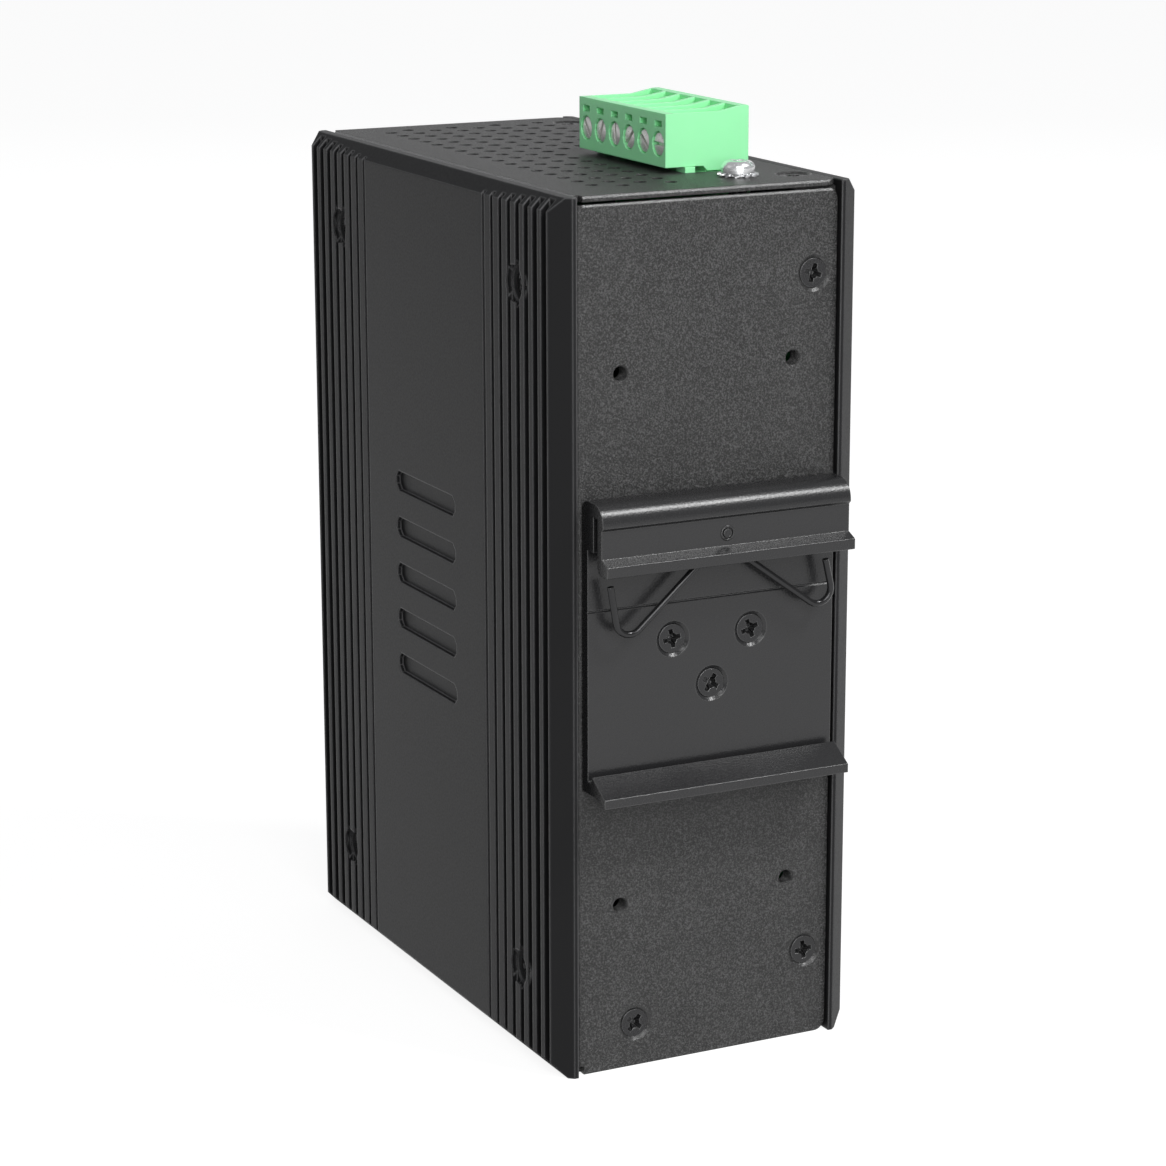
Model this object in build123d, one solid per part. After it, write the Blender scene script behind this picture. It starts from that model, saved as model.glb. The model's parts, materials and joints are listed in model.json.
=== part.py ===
from build123d import *
import math
import os

# A DIN-rail network switch with power over Ethernet. Two grooved aluminium heat sinks form its
# sides, a folded steel tray and lid form the box between them, and an extruded rail clip with a
# wire spring is screwed to its rear. Millimetres, +Z up, ports towards -Y, rail clip towards +Y.
# The origin is at the middle of the underside of the whole outline.

# Body over the two heat sinks
body_width = 54.0
body_depth = 99.0
body_height = 142.0

# Heat sink extrusion
sink_thickness = 3.8
sink_chamfer = 2.2
end_bevel_in = 3.06
end_bevel_along = 2.6
groove_count = 8
groove_first = 2.9
groove_pitch = 3.17
groove_width_outer = 2.1
groove_width_inner = 1.0
groove_depth_outer = 1.75
groove_depth_inner = 0.52
flute_count = 5
flute_length = 24.0
flute_width = 3.4
flute_pitch = 8.0
flute_depth = 0.8

# Folded steel box
sheet = 1.0
bend_inner = 0.4
panel_recess = 1.0
free_edge_gap = 0.2
seam = 0.15
corner_round = 2.0
edge_round = 0.25
lid_fit = 0.1
lid_flange = 7.3

# Vents
vent_size = 1.8
vent_pitch = 4.85
vent_rows = 8
vent_rear_margin = 12.0
slot_width = 3.0
slot_margin = 2.2
slot_pitch = 12.5
slot_count = 5
slot_rows = 2
slot_corner_share = 0.3

# Screws, all M3
screw_size = 3.0
thread_clearance = 0.05
shank_clearance = 0.2
head_size = 5.2
head_clearance = 0.12
head_cone = 1.0
shown_sides = 14
seat_sides = 12
screw_sides = 8
bore_sides = 6
wire_sides = 6
side_screw_inset_y = 14.4
side_screw_inset_z = 14.8
side_screw_sink = 1.35
side_screw_length = 5.0
panel_screw_length = 4.5
panel_screw_inset_x = 4.3
panel_screw_inset_z = 14.6
foot_screw_inset_x = 10.7
foot_screw_z = 7.2
foot_tab_width = 10.0
top_screw_inset_x = 3.5
top_screw_inset = 9.4

# Threaded mounting holes in the rear panel
mount_hole = 2.7
mount_spacing_x = 30.5
mount_spacing_z = 86.4
nut_across = 5.5
nut_height = 2.0

# Rail clip section, measured out of the rear panel and from the two lips
clip_side_gap = 1.2
clip_plate = 2.0
clip_drop = 3.3
rail_gap = 33.2
clip_reach = 8.8
hook_slot_start = 4.0
hook_slot = 1.4
hook_wall = 1.4
hook_lip = 1.75
hook_flare = 0.85
hook_step = 3.2
hook_bulge = 0.5
hook_bulge_rise = 7.3
hook_slot_rise = 8.8
hook_rise = 11.0
ledge_reach = 7.9
ledge_lip = 1.4
ledge_slope = 2.6
ledge_underside = 3.0
ledge_groove = 1.3
ledge_groove_depth = 1.0
ledge_land = 0.25
scribe_rise = 9.8
clip_screw_spread = 14.0
clip_screw_rise = 3.8
clip_screw_drop = 4.3

# Wire spring and its rivet
wire_size = 1.1
wire_clearance = 0.12
rivet_size = 2.0
rivet_rise = 4.6
rivet_head = 2.5
rivet_proud = 0.15
wire_leg_drop = 2.9
wire_bend_inset = 3.2
wire_bend_drop = 12.9
wire_bend_radius = 2.4
wire_tip_inset = 2.6
wire_tip_drop = 2.4

# Six-way pluggable terminal
pole_count = 6
pole_pitch = 5.08
plug_rear_inset = 18.6
plug_depth = 15.0
plug_overhang = 6.8
plug_height = 8.5
plug_crown = 0.75
plug_gap = 0.9
plug_total = 18.2
tongue_inset = 0.8
tongue_fit = 0.15
header_wall = 0.9
header_height = 11.0
header_drop = 1.0
header_floor = 1.2
header_depth = 8.5
header_pin = 1.0
pin_socket = 1.6
wire_window = 2.4
window_height = 1.0
window_drop = 1.75
funnel_width = 4.1
funnel_depth = 2.0
wire_hole = 3.0
terminal_screw = 3.7
screw_recess = 4.0
screw_recess_depth = 0.6
screw_drop = 4.95
screw_slot = 0.8
cutout_fit = 0.3

# Ground screw
ground_inset_x = 12.6
ground_inset = 11.0
ground_head = 5.4
ground_head_height = 2.0
washer_size = 6.6
washer_thickness = 0.5
washer_teeth = 12
washer_tooth = 0.9

# Circuit boards
board = 1.6
board_standoff = 3.6
board_margin_z = 5.0
board_margin_rear = 5.0
board_margin_front = 0.6
power_standoff = 4.0
power_margin_z = 8.0
power_margin_front = 10.0
standoff_across = 5.0
standoff_inset = 6.0
standoff_inset_z = 16.0
standoff_front_inset = 36.0
standoff_fibre_gap = 4.7
board_screw_head = 5.0
board_screw_height = 1.6

# Front ports
port_count = 5
gap_below_ports = 7.75
gap_between_ports = 1.5
gap_below_fibre = 5.2
gap_below_lamps = 6.7
gap_above_lamps = 9.05
jack_width = 15.2
jack_height = 13.0
jack_depth = 17.5
jack_proud = 0.3
shield = 0.4
mouth_width = 11.8
mouth_height = 6.9
mouth_floor = 2.4
mouth_depth = 12.5
latch_width = 6.2
latch_height = 1.7
contact_count = 8
contact_pitch = 1.02
contact_size = 0.35
fibre_width = 14.6
fibre_height = 10.2
fibre_depth = 47.0
fibre_wall = 0.5
fibre_socket_depth = 8.5
fibre_slot_depth = 6.5
fibre_slot = 1.6
lamp_size = 3.0
lamp_pitch = 5.2
lamp_rim = 2.25
lamp_depth = 9.0
panel_fit = 0.25

# Parts on the boards
chip_size = 17.0
chip_height = 1.4
poe_chip_size = 9.0
poe_chip_height = 1.0
magnetics_length = 12.0
magnetics_width = 9.5
magnetics_height = 6.0
capacitor_size = 10.0
capacitor_height = 20.0
capacitor_count = 3
transformer_width = 21.0
transformer_length = 23.0
transformer_height = 15.0
winding_height = 11.0
coil_size = 12.0
coil_height = 8.0
coil_count = 2
relay_width = 10.0
relay_length = 15.5
relay_height = 11.0
socket_length = 30.0
socket_width = 6.0
socket_height = 7.0
card_seat = 3.0

# Places that follow from the sizes above
clip_stand = clip_reach - panel_recess
rear_y = (body_depth - clip_stand) / 2
front_y = rear_y - body_depth
panel_rear = rear_y - panel_recess
panel_front = front_y + panel_recess
half = body_width / 2 - sink_thickness
panel_screw_x = half - panel_screw_inset_x
foot_screw_x = half - foot_screw_inset_x
top_screw_x = half - top_screw_inset_x
ground_x = half - ground_inset_x
clip_width = 2 * (half - clip_side_gap)
wire_tip_x = clip_width / 2 - wire_tip_inset
wire_bend_x = clip_width / 2 - wire_bend_inset
slot_length = half - slot_margin - 2 * slot_width
middle_y = (rear_y + front_y) / 2
middle_z = body_height / 2
wall_in = half - sheet
bend_outer = bend_inner + sheet
flange_end = -half + free_edge_gap
side_face = body_width / 2 - side_screw_sink
clip_middle = middle_z - clip_drop
hook_z = clip_middle + rail_gap / 2
ledge_z = clip_middle - rail_gap / 2
rivet_z = hook_z + rivet_rise
slot_middle = panel_rear + hook_slot_start + hook_slot / 2
board_face = -wall_in + board_standoff + board
power_face = wall_in - power_standoff - board
board_rear = panel_rear - sheet - board_margin_rear
board_front = panel_front + sheet + board_margin_front
board_top = body_height - board_margin_z
power_rear = board_rear
power_front = panel_front + power_margin_front
plug_length = pole_count * pole_pitch
plug_rear = rear_y - plug_rear_inset
plug_middle = plug_rear - plug_length / 2
plug_back = board_face + cutout_fit
plug_face = plug_back + plug_depth
plug_floor = body_height + plug_gap
plug_top = plug_floor + plug_height
plug_foot = plug_top + plug_crown - plug_total
tongue_front = plug_face - plug_overhang - tongue_inset
header_front = board_face + header_depth
header_top = plug_floor - header_drop
header_bottom = header_top - header_height
header_half = plug_length / 2 + cutout_fit
port_face = panel_front - jack_proud

# The front column: windows of fixed size, and gaps that share the height left between them
port_window = jack_width + 2 * (shield + panel_fit)
fibre_window = fibre_width + 2 * panel_fit
lamp_block = lamp_pitch + 2 * lamp_rim
windows = port_count * port_window + fibre_window + lamp_block
port_gaps = gap_below_ports + (port_count - 1) * gap_between_ports
gaps = port_gaps + gap_below_fibre + gap_below_lamps + gap_above_lamps
spread = (body_height - windows) / gaps
port_pitch = port_window + gap_between_ports * spread
first_port_z = gap_below_ports * spread + port_window / 2
port_z = [first_port_z + port_pitch * i for i in range(port_count)]
fibre_z = port_z[-1] + port_window / 2 + gap_below_fibre * spread + fibre_window / 2
lamp_z = fibre_z + fibre_window / 2 + gap_below_lamps * spread + lamp_rim
top_screw_y = [rear_y - top_screw_inset, front_y + top_screw_inset]


def block(x, y, z):
    """A box from its lowest and highest x, y and z."""
    size = Box(x[1] - x[0], y[1] - y[0], z[1] - z[0])
    return Pos((x[0] + x[1]) / 2, (y[0] + y[1]) / 2, (z[0] + z[1]) / 2) * size


def facing(place, direction):
    """A plane at a place whose own z runs along a direction."""
    return Plane(origin=place, z_dir=direction)


def rod(place, direction, radius, length):
    """A round bar that starts at a place and runs along a direction."""
    return facing(place, direction) * Pos(0, 0, length / 2) * Cylinder(radius, length)


def faceted_bar(place, direction, radius, length, sides, around=True):
    """A bar with flat sides, drawn around a circle, or inside it, to keep what repeats light."""
    return extrude(facing(place, direction) * RegularPolygon(radius, sides, major_radius=not around), length)


def faceted_turning(place, outward, steps, sides):
    """A turning with flat sides: a ring of corners at each (radius, height), joined by flat faces."""
    turns = [2 * math.pi * i / sides for i in range(sides)]
    rings = [[(r * math.cos(t), r * math.sin(t), height) for t in turns] for r, height in steps]
    faces = [Face(Wire.make_polygon(rings[0])), Face(Wire.make_polygon(rings[-1]))]
    for high, low in zip(rings, rings[1:]):
        for i in range(sides):
            j = (i + 1) % sides
            faces.append(Face(Wire.make_polygon([high[i], high[j], low[j], low[i]])))
    return facing(place, outward) * Solid(Shell(faces))


def joined(shapes):
    """Several separate solids in one group."""
    return Compound(children=list(shapes))


# Fasteners
def countersunk_screw(place, outward, length):
    """A flat-head screw whose head is flush at the place, with its shank pointing inwards."""
    head, shank = head_size / 2, screw_size / 2 - thread_clearance
    return faceted_turning(place, outward, [(head, 0), (shank, -head_cone), (shank, -length)], screw_sides)


def countersink(place, outward, through, sides=shown_sides):
    """The space that a flat-head screw needs, carried on past both faces of the sheet."""
    head, shank = head_size / 2 + head_clearance, screw_size / 2 + shank_clearance
    slope = (head - shank) / head_cone
    steps = [(head + slope, 1), (shank, -head_cone), (shank, -through)]
    return faceted_turning(place, outward, steps, sides)


def tapped_hole(place, outward, through):
    """The space of a thread, drawn at its full size."""
    start = Vector(*place) + Vector(*outward) * 0.5
    return faceted_bar(tuple(start), tuple(-v for v in outward), screw_size / 2, through + 1, bore_sides)


side_screw_places = [
    (y, z)
    for y in (rear_y - side_screw_inset_y, front_y + side_screw_inset_y)
    for z in (side_screw_inset_z, body_height - side_screw_inset_z)
]
lid_screw_places = [(-panel_screw_x, z) for z in (panel_screw_inset_z, body_height - panel_screw_inset_z)]
mount_places = [
    (x, z)
    for x in (-mount_spacing_x / 2, mount_spacing_x / 2)
    for z in (middle_z - mount_spacing_z / 2, middle_z + mount_spacing_z / 2)
]
clip_screw_places = [
    (-clip_screw_spread / 2, clip_middle + clip_screw_rise),
    (clip_screw_spread / 2, clip_middle + clip_screw_rise),
    (0, clip_middle - clip_screw_drop),
]


# Heat sinks
def long_slot(across, along):
    """A long slot with cut corners, its length along its own y."""
    outline = Rectangle(across, along)
    return chamfer(outline.vertices(), across * slot_corner_share)


def sink_outline():
    """The extrusion's section: a plate with bevelled ends and grooves that deepen towards the ends."""
    inner, outer = half, body_width / 2
    thin = outer - end_bevel_in
    plate = make_face(Polyline(
        (inner, front_y), (thin, front_y), (outer, front_y + end_bevel_along),
        (outer, rear_y - end_bevel_along), (thin, rear_y), (inner, rear_y), (inner, front_y),
    ))
    for i in range(groove_count):
        share = i / (groove_count - 1)
        width = groove_width_outer + share * (groove_width_inner - groove_width_outer)
        depth = groove_depth_outer + share * (groove_depth_inner - groove_depth_outer)
        offset = groove_first + groove_pitch * i + width / 2
        for y in (rear_y - offset, front_y + offset):
            plate -= Pos(outer, y) * Rectangle(2 * depth, width)
    return plate


def heat_sink():
    """The sink on the +X side, with its ends chamfered, screw seats and milled flutes."""
    sink = extrude(sink_outline(), body_height)
    outer = body_width / 2
    for z, up in ((0, -1), (body_height, 1)):
        inner = outer - sink_chamfer
        corner = Polyline(
            (inner, z), (outer + 1, z - up * (sink_chamfer + 1)), (outer + 1, z + up), (inner, z + up),
            (inner, z),
        )
        wedge = Plane.XZ * make_face(corner)
        sink -= Pos(0, middle_y, 0) * extrude(wedge, body_depth, both=True)
    for y, z in side_screw_places:
        seat = (side_face, y, z)
        recess = head_size / 2 + head_clearance
        sink -= countersink(seat, (1, 0, 0), sink_thickness, seat_sides)
        sink -= faceted_bar(seat, (1, 0, 0), recess, side_screw_sink + 1, seat_sides, around=False)
    for i in range(flute_count):
        z = middle_z + (i - (flute_count - 1) / 2) * flute_pitch
        flute = long_slot(flute_width, flute_length)
        sink -= extrude(facing((outer - flute_depth, middle_y, z), (1, 0, 0)) * flute, flute_depth + 1)
    return sink


# Folded box
def vent_places():
    """Staggered rows of vents over the top, left out where the terminal and its screws are."""
    row_gap = vent_pitch * math.sqrt(3) / 2
    keep_x = plug_face + vent_size / 2
    keep_y = plug_rear - plug_length - vent_size
    first = rear_y - vent_rear_margin
    count = int((body_depth - 1.5 * vent_rear_margin + vent_pitch / 2) / vent_pitch)
    for row in range(vent_rows):
        x = ((vent_rows - 1) / 2 - row) * row_gap
        shift = vent_pitch / 2 * (row % 2)
        for i in range(count + row % 2):
            y = first + shift - i * vent_pitch
            if x > keep_x or y < keep_y:
                yield x, y


def slot_places():
    """Two rows of long vents through the underside."""
    for row in range(slot_rows):
        x = (row - (slot_rows - 1) / 2) * (slot_length + 4 * slot_width)
        for i in range(slot_count):
            yield x, middle_y + (i - (slot_count - 1) / 2) * slot_pitch


def flange_corners(tray, axis):
    """The short edges along an axis at the free ends of the folded panels."""
    short = [e for e in tray.edges().filter_by(axis) if e.length < 2 * sheet]
    return [e for e in short if abs(e.center().X - flange_end) < seam / 2]


def chassis_tray():
    """The +X wall with the front, rear, top and bottom panels folded off it."""
    shell = block((flange_end, half), (panel_front, panel_rear), (0, body_height))
    shell = fillet(shell.faces().sort_by(Axis.X)[-1].edges(), bend_outer)
    room = block(
        (flange_end - 1, wall_in), (panel_front + sheet, panel_rear - sheet), (sheet, body_height - sheet)
    )
    tray = shell - fillet(room.faces().sort_by(Axis.X)[-1].edges(), bend_inner)
    top = body_height - sheet
    for y in ((panel_rear - bend_outer, panel_rear + 1), (panel_front - 1, panel_front + bend_outer)):
        for z in ((-1, bend_outer), (body_height - bend_outer, body_height + 1)):
            tray -= block((half - bend_outer, half + 1), y, z)
    seam_x = (-half - 1, half - bend_outer)
    for inner, outer in ((panel_rear - sheet, panel_rear + 1), (panel_front - 1, panel_front + sheet)):
        tray -= block(seam_x, (inner, outer), (top - seam, top))
    tray -= block(seam_x, (panel_rear - sheet - seam, panel_rear - sheet), (-1, sheet))
    tray -= block(seam_x, (panel_front + sheet, panel_front + sheet + seam), (-1, sheet))
    tray = fillet(flange_corners(tray, Axis.Y), corner_round)
    tips = [e for e in flange_corners(tray, Axis.Z) if e.center().Z > top]
    return fillet(tips, corner_round)


def box_openings():
    """Everything cut through the tray's panels."""
    cuts = []
    hexagon = RegularPolygon(vent_size / 2, 6, major_radius=False)
    for x, y in vent_places():
        cuts.append(extrude(Pos(x, y, body_height - 2 * sheet) * hexagon, 3 * sheet))
    slot = Rot(0, 0, 90) * long_slot(slot_width, slot_length)
    for x, y in slot_places():
        cuts.append(extrude(Pos(x, y, -sheet) * slot, 3 * sheet))
    for x, z in mount_places:
        cuts.append(rod((x, panel_rear - 2 * sheet, z), (0, 1, 0), mount_hole / 2, 3 * sheet))
    for x, z in clip_screw_places:
        place = (x, panel_rear - 2 * sheet, z)
        cuts.append(faceted_bar(place, (0, 1, 0), screw_size / 2 + shank_clearance, 3 * sheet, bore_sides))
    for x, z in lid_screw_places + [(foot_screw_x, foot_screw_z)]:
        cuts.append(countersink((x, panel_rear, z), (0, 1, 0), sheet + 0.5))
    for y in top_screw_y:
        cuts.append(countersink((-top_screw_x, y, body_height), (0, 0, 1), sheet + 0.5))
        cuts.append(countersink((-top_screw_x, y, 0), (0, 0, -1), sheet + 0.5))
    for y, z in side_screw_places:
        cuts.append(tapped_hole((half, y, z), (1, 0, 0), 2 * sheet))
    cuts.append(tapped_hole((-ground_x, rear_y - ground_inset, body_height), (0, 0, 1), 2 * sheet))
    cuts.append(block(
        (board_face - cutout_fit, header_front + plug_overhang / 2 + cutout_fit),
        (plug_middle - header_half - cutout_fit, plug_middle + header_half + cutout_fit),
        (body_height - 2 * sheet, body_height + sheet),
    ))
    cuts += front_openings()
    return cuts


def front_openings():
    """The windows in the front panel for the ports and lamps."""
    deep = (panel_front - sheet, panel_front + 2 * sheet)
    cuts = []
    for z in port_z:
        cuts.append(block(
            (board_face - panel_fit, board_face + jack_height + 2 * shield + panel_fit), deep,
            (z - jack_width / 2 - shield - panel_fit, z + jack_width / 2 + shield + panel_fit),
        ))
    cuts.append(block(
        (board_face - panel_fit, board_face + fibre_height + panel_fit), deep,
        (fibre_z - fibre_width / 2 - panel_fit, fibre_z + fibre_width / 2 + panel_fit),
    ))
    for x, z in lamp_places():
        hole = lamp_size / 2 + panel_fit / 2
        cuts.append(faceted_bar((x, deep[0], z), (0, 1, 0), hole, deep[1] - deep[0], seat_sides))
    return cuts


def lamp_places():
    """Four status lamps in a square above the ports."""
    first = board_face + lamp_size
    return [(first + lamp_pitch * i, lamp_z + lamp_pitch * j) for i in range(2) for j in range(2)]


def finished_tray():
    """The tray with its foot tab and all of its openings."""
    tray = chassis_tray()
    tab_rear = panel_rear - sheet - seam
    tab_half = foot_tab_width / 2
    tray += block(
        (foot_screw_x - tab_half, foot_screw_x + tab_half), (tab_rear - sheet, tab_rear),
        (sheet / 2, foot_screw_z + tab_half),
    )
    thread = tapped_hole((foot_screw_x, tab_rear, foot_screw_z), (0, 1, 0), 2 * sheet)
    return tray - (box_openings() + [thread])


def chassis_lid():
    """The -X wall, with flanges that lie inside the tray's rear, top and bottom panels."""
    inset = sheet + lid_fit
    y = (panel_front + inset, panel_rear - inset)
    z = (inset, body_height - inset)
    wall = block((-half, -half + lid_flange), y, z)
    lid = wall - block((-wall_in, 0), (y[0] - 1, y[1] - sheet), (z[0] + sheet, z[1] - sheet))
    clear = lid_fit + head_clearance
    for x, z in mount_places:
        lid -= faceted_bar((x, panel_rear - 5, z), (0, 1, 0), nut_across / 2 + 3 * clear, 5, bore_sides)
    for x, z in lid_screw_places:
        lid -= tapped_hole((x, panel_rear - inset, z), (0, 1, 0), 2 * sheet)
    for y in top_screw_y:
        lid -= tapped_hole((-top_screw_x, y, body_height - inset), (0, 0, 1), 2 * sheet)
        lid -= tapped_hole((-top_screw_x, y, inset), (0, 0, -1), 2 * sheet)
    for y, z in side_screw_places:
        lid -= tapped_hole((-half, y, z), (-1, 0, 0), 2 * sheet)
    lid -= block(
        (board_face - 2 * board, 0), (plug_middle - header_half - 1, plug_middle + header_half + 1),
        (body_height - 3 * sheet, body_height),
    )
    return lid


# Rail clip
def rounded(face, place, radius):
    """A flat outline with the corner nearest to a place rounded."""
    corner = face.vertices().sort_by_distance(Vector(*place))[0]
    return fillet(corner, radius)


def clip_outline():
    """The extrusion's section, in distance out of the rear panel and height."""
    slot_far = hook_slot_start + hook_slot
    wall = slot_far + hook_wall
    bulge = wall + hook_bulge
    groove_far = clip_plate + ledge_groove
    scribe = clip_middle + scribe_rise
    cut = hook_bulge / 2
    top = hook_z + hook_rise
    slot_top = hook_z + hook_slot_rise
    points = [
        (0, ledge_z - ledge_underside),
        (ledge_reach * 0.6, ledge_z - ledge_underside),
        (ledge_reach, ledge_z - ledge_slope - ledge_lip),
        (ledge_reach, ledge_z - ledge_slope),
        (groove_far + ledge_land, ledge_z),
        (groove_far, ledge_z),
        (groove_far, ledge_z - ledge_groove_depth),
        (clip_plate, ledge_z - ledge_groove_depth),
        (clip_plate, scribe - cut),
        (clip_plate - cut, scribe),
        (clip_plate, scribe + cut),
        (clip_plate, hook_z + hook_step),
        (hook_slot_start, hook_z + hook_step),
        (hook_slot_start, slot_top),
        (slot_far, slot_top),
        (slot_far, hook_z),
        (clip_reach, hook_z),
        (clip_reach, hook_z + hook_lip),
        (wall, hook_z + hook_lip + hook_flare),
        (wall, hook_z + hook_bulge_rise - cut),
        (bulge, hook_z + hook_bulge_rise + cut),
        (bulge, top),
        (0, top),
        (0, ledge_z - ledge_underside),
    ]
    face = make_face(Polyline(*points))
    face = rounded(face, (bulge, top), hook_rise - hook_bulge_rise - 2 * cut)
    face = rounded(face, (0, top), clip_plate)
    face = rounded(face, (slot_far, hook_z), hook_wall)
    face = rounded(face, (clip_reach, hook_z), edge_round)
    face = rounded(face, (clip_reach, hook_z + hook_lip), edge_round)
    face = rounded(face, (ledge_reach, ledge_z - ledge_slope), edge_round)
    return face


def rail_clip():
    """The clip, with its screw holes and the rivet's hole."""
    section = Plane(origin=(0, panel_rear, 0), x_dir=(0, 1, 0), z_dir=(1, 0, 0)) * clip_outline()
    clip = extrude(section, clip_width / 2, both=True)
    for x, z in clip_screw_places:
        clip -= countersink((x, panel_rear + clip_plate, z), (0, 1, 0), clip_plate + 1)
    start = (0, panel_rear + clip_plate / 2, rivet_z)
    return clip - faceted_bar(start, (0, 1, 0), rivet_size / 2 + thread_clearance, clip_reach, screw_sides)


def clip_rivet():
    """The rivet across the hook's slot, with its flat head outside."""
    face = panel_rear + hook_slot_start + hook_slot + hook_wall
    start = panel_rear + clip_plate / 2 + thread_clearance
    out = (0, 1, 0)
    shank = faceted_bar((0, start, rivet_z), out, rivet_size / 2, face - start, screw_sides, around=False)
    head = faceted_bar((0, face, rivet_z), out, rivet_head / 2, rivet_proud, screw_sides, around=False)
    return shank + head


def wire_spring():
    """One bent wire that hangs over the rivet, with an arm and an upturned tip on each side."""
    leg = rivet_size / 2 + wire_clearance + wire_size / 2
    knee = rivet_z - wire_leg_drop
    side = [
        (wire_tip_x, hook_z - wire_tip_drop),
        (wire_bend_x, hook_z - wire_bend_drop),
        (leg, knee),
        (leg, rivet_z + leg),
    ]
    places = side + [(-x, z) for x, z in reversed(side)]
    path = FilletPolyline(
        *[(x, slot_middle, z) for x, z in places],
        radius=[wire_bend_radius, wire_size, leg * 0.98, leg * 0.98, wire_size, wire_bend_radius],
    )
    start = path @ 0
    section = Plane(origin=start, x_dir=(0, 1, 0), z_dir=path % 0) * RegularPolygon(wire_size / 2, wire_sides)
    return sweep(section, path=path)


# Terminal
def plug_outline():
    """The plug's end view, in x and z: the clamp body and the tongue that enters the header."""
    overhang = plug_face - plug_overhang
    back = plug_back
    crown = plug_top + plug_crown
    step = (plug_depth - plug_overhang) / 3
    points = [
        (plug_face, plug_floor),
        (plug_face, plug_top),
        (plug_back + 2 * step, plug_top),
        (plug_back + step / 2, crown),
        (back, crown),
        (back, plug_floor + tongue_inset / 2),
        (back + tongue_inset, plug_floor - tongue_inset / 2 - sheet / 2),
        (back + tongue_inset, plug_foot),
        (tongue_front, plug_foot),
        (tongue_front, plug_floor - tongue_inset),
        (overhang, plug_floor),
        (plug_face, plug_floor),
    ]
    face = make_face(Polyline(*points))
    return rounded(face, (back, crown), edge_round)


def pole_places():
    """The y of each terminal pole."""
    return [plug_middle + (i - (pole_count - 1) / 2) * pole_pitch for i in range(pole_count)]


def terminal_plug():
    """The plug, with clamp screw recesses, windows, wire funnels and pin sockets."""
    body = Pos(0, plug_middle, 0) * extrude(Plane.XZ * plug_outline(), plug_length / 2, both=True)
    trim = tongue_inset
    end = plug_length / 2
    x = (plug_back - 1, plug_face - plug_overhang)
    for side in (-1, 1):
        y = sorted((plug_middle + side * (end - trim), plug_middle + side * (end + 1)))
        body -= block(x, y, (plug_foot - 1, plug_floor - tongue_inset))
    screw_z = plug_top - screw_drop
    funnel = (plug_back + 2 * header_wall, plug_face - 2 * header_wall)
    slope = Polyline(
        (funnel[1], plug_top - edge_round), (funnel[1], plug_top + 2), (funnel[0], plug_top + 2),
        (funnel[0], plug_top - funnel_depth), (funnel[1], plug_top - edge_round),
    )
    pocket = Plane.XZ * make_face(slope)
    for y in pole_places():
        seat = (plug_face - screw_recess_depth - 2, y, screw_z)
        body -= faceted_bar(seat, (1, 0, 0), screw_recess / 2, 5, seat_sides)
        body -= block(
            (plug_face - 2 * header_wall, plug_face + 1), (y - wire_window / 2, y + wire_window / 2),
            (plug_top - window_drop - window_height / 2, plug_top - window_drop + window_height / 2),
        )
        body -= Pos(0, y, 0) * extrude(pocket, funnel_width / 2, both=True)
        entry = (funnel[0] + wire_hole, y, plug_top)
        body -= faceted_bar(entry, (0, 0, -1), wire_hole / 2, plug_height / 2, screw_sides)
        pin_x = (plug_back + tongue_inset + tongue_front) / 2
        body -= block(
            (pin_x - pin_socket / 2, pin_x + pin_socket / 2), (y - pin_socket / 2, y + pin_socket / 2),
            (plug_foot - 1, plug_floor - tongue_inset),
        )
    return body


def terminal_screws():
    """The slotted clamp screws, each turned its own way."""
    turns = [-52, 65, -87, 43, -39, 0]
    seat = plug_face - screw_recess_depth - 2
    screws = []
    for i, y in enumerate(pole_places()):
        place = (seat, y, plug_top - screw_drop)
        drum = extrude(RegularPolygon(terminal_screw / 2, screw_sides), 2)
        slot = Pos(0, 0, 2) * Box(terminal_screw + 1, screw_slot, 1.2)
        turned = Plane(origin=place, x_dir=(0, 1, 0), z_dir=(1, 0, 0)) * Rot(0, 0, turns[i % len(turns)])
        screws.append(turned * (drum - slot))
    return joined(screws)


def terminal_header():
    """The open-topped header on the board that the plug stands in, with its latch rail."""
    y = (plug_middle - header_half, plug_middle + header_half)
    shell = block((board_face, header_front), y, (header_bottom, header_top))
    room = block(
        (plug_back + tongue_inset - tongue_fit, header_front - header_wall / 2),
        (y[0] + header_wall / 2, y[1] - header_wall / 2),
        (header_bottom + header_floor, header_top + 1),
    )
    rail_x = header_front + plug_overhang / 2
    shelf_top = header_top - 2 * header_wall
    shelf = block((header_front, rail_x), y, (shelf_top - header_wall, shelf_top))
    rib_end = 3 * sheet
    rib = block(
        (rail_x - 2 * header_wall, rail_x), y, (shelf_top - header_wall, plug_floor - thread_clearance)
    )
    gap = block((header_front, rail_x + 1), (y[0] + rib_end, y[1] - rib_end), (shelf_top, plug_floor))
    header = shell - room + shelf + (rib - gap)
    pin_x = (plug_back + tongue_inset + tongue_front) / 2
    for py in pole_places():
        header -= block(
            (pin_x - header_pin / 2, pin_x + header_pin / 2), (py - header_pin / 2, py + header_pin / 2),
            (header_bottom - 1, header_bottom + 2 * header_floor),
        )
    return header


def header_pins():
    """Six square pins that rise into the header and bend over to the board."""
    pins = []
    pin_x = (plug_back + tongue_inset + tongue_front) / 2
    w = header_pin / 2
    low = header_bottom - 2 * header_pin
    for y in pole_places():
        rise = block((pin_x - w, pin_x + w), (y - w, y + w), (low, plug_foot + header_height / 2))
        foot = block((board_face - board, pin_x + w), (y - w, y + w), (low, low + header_pin))
        pins.append(rise + foot)
    return joined(pins)


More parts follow.
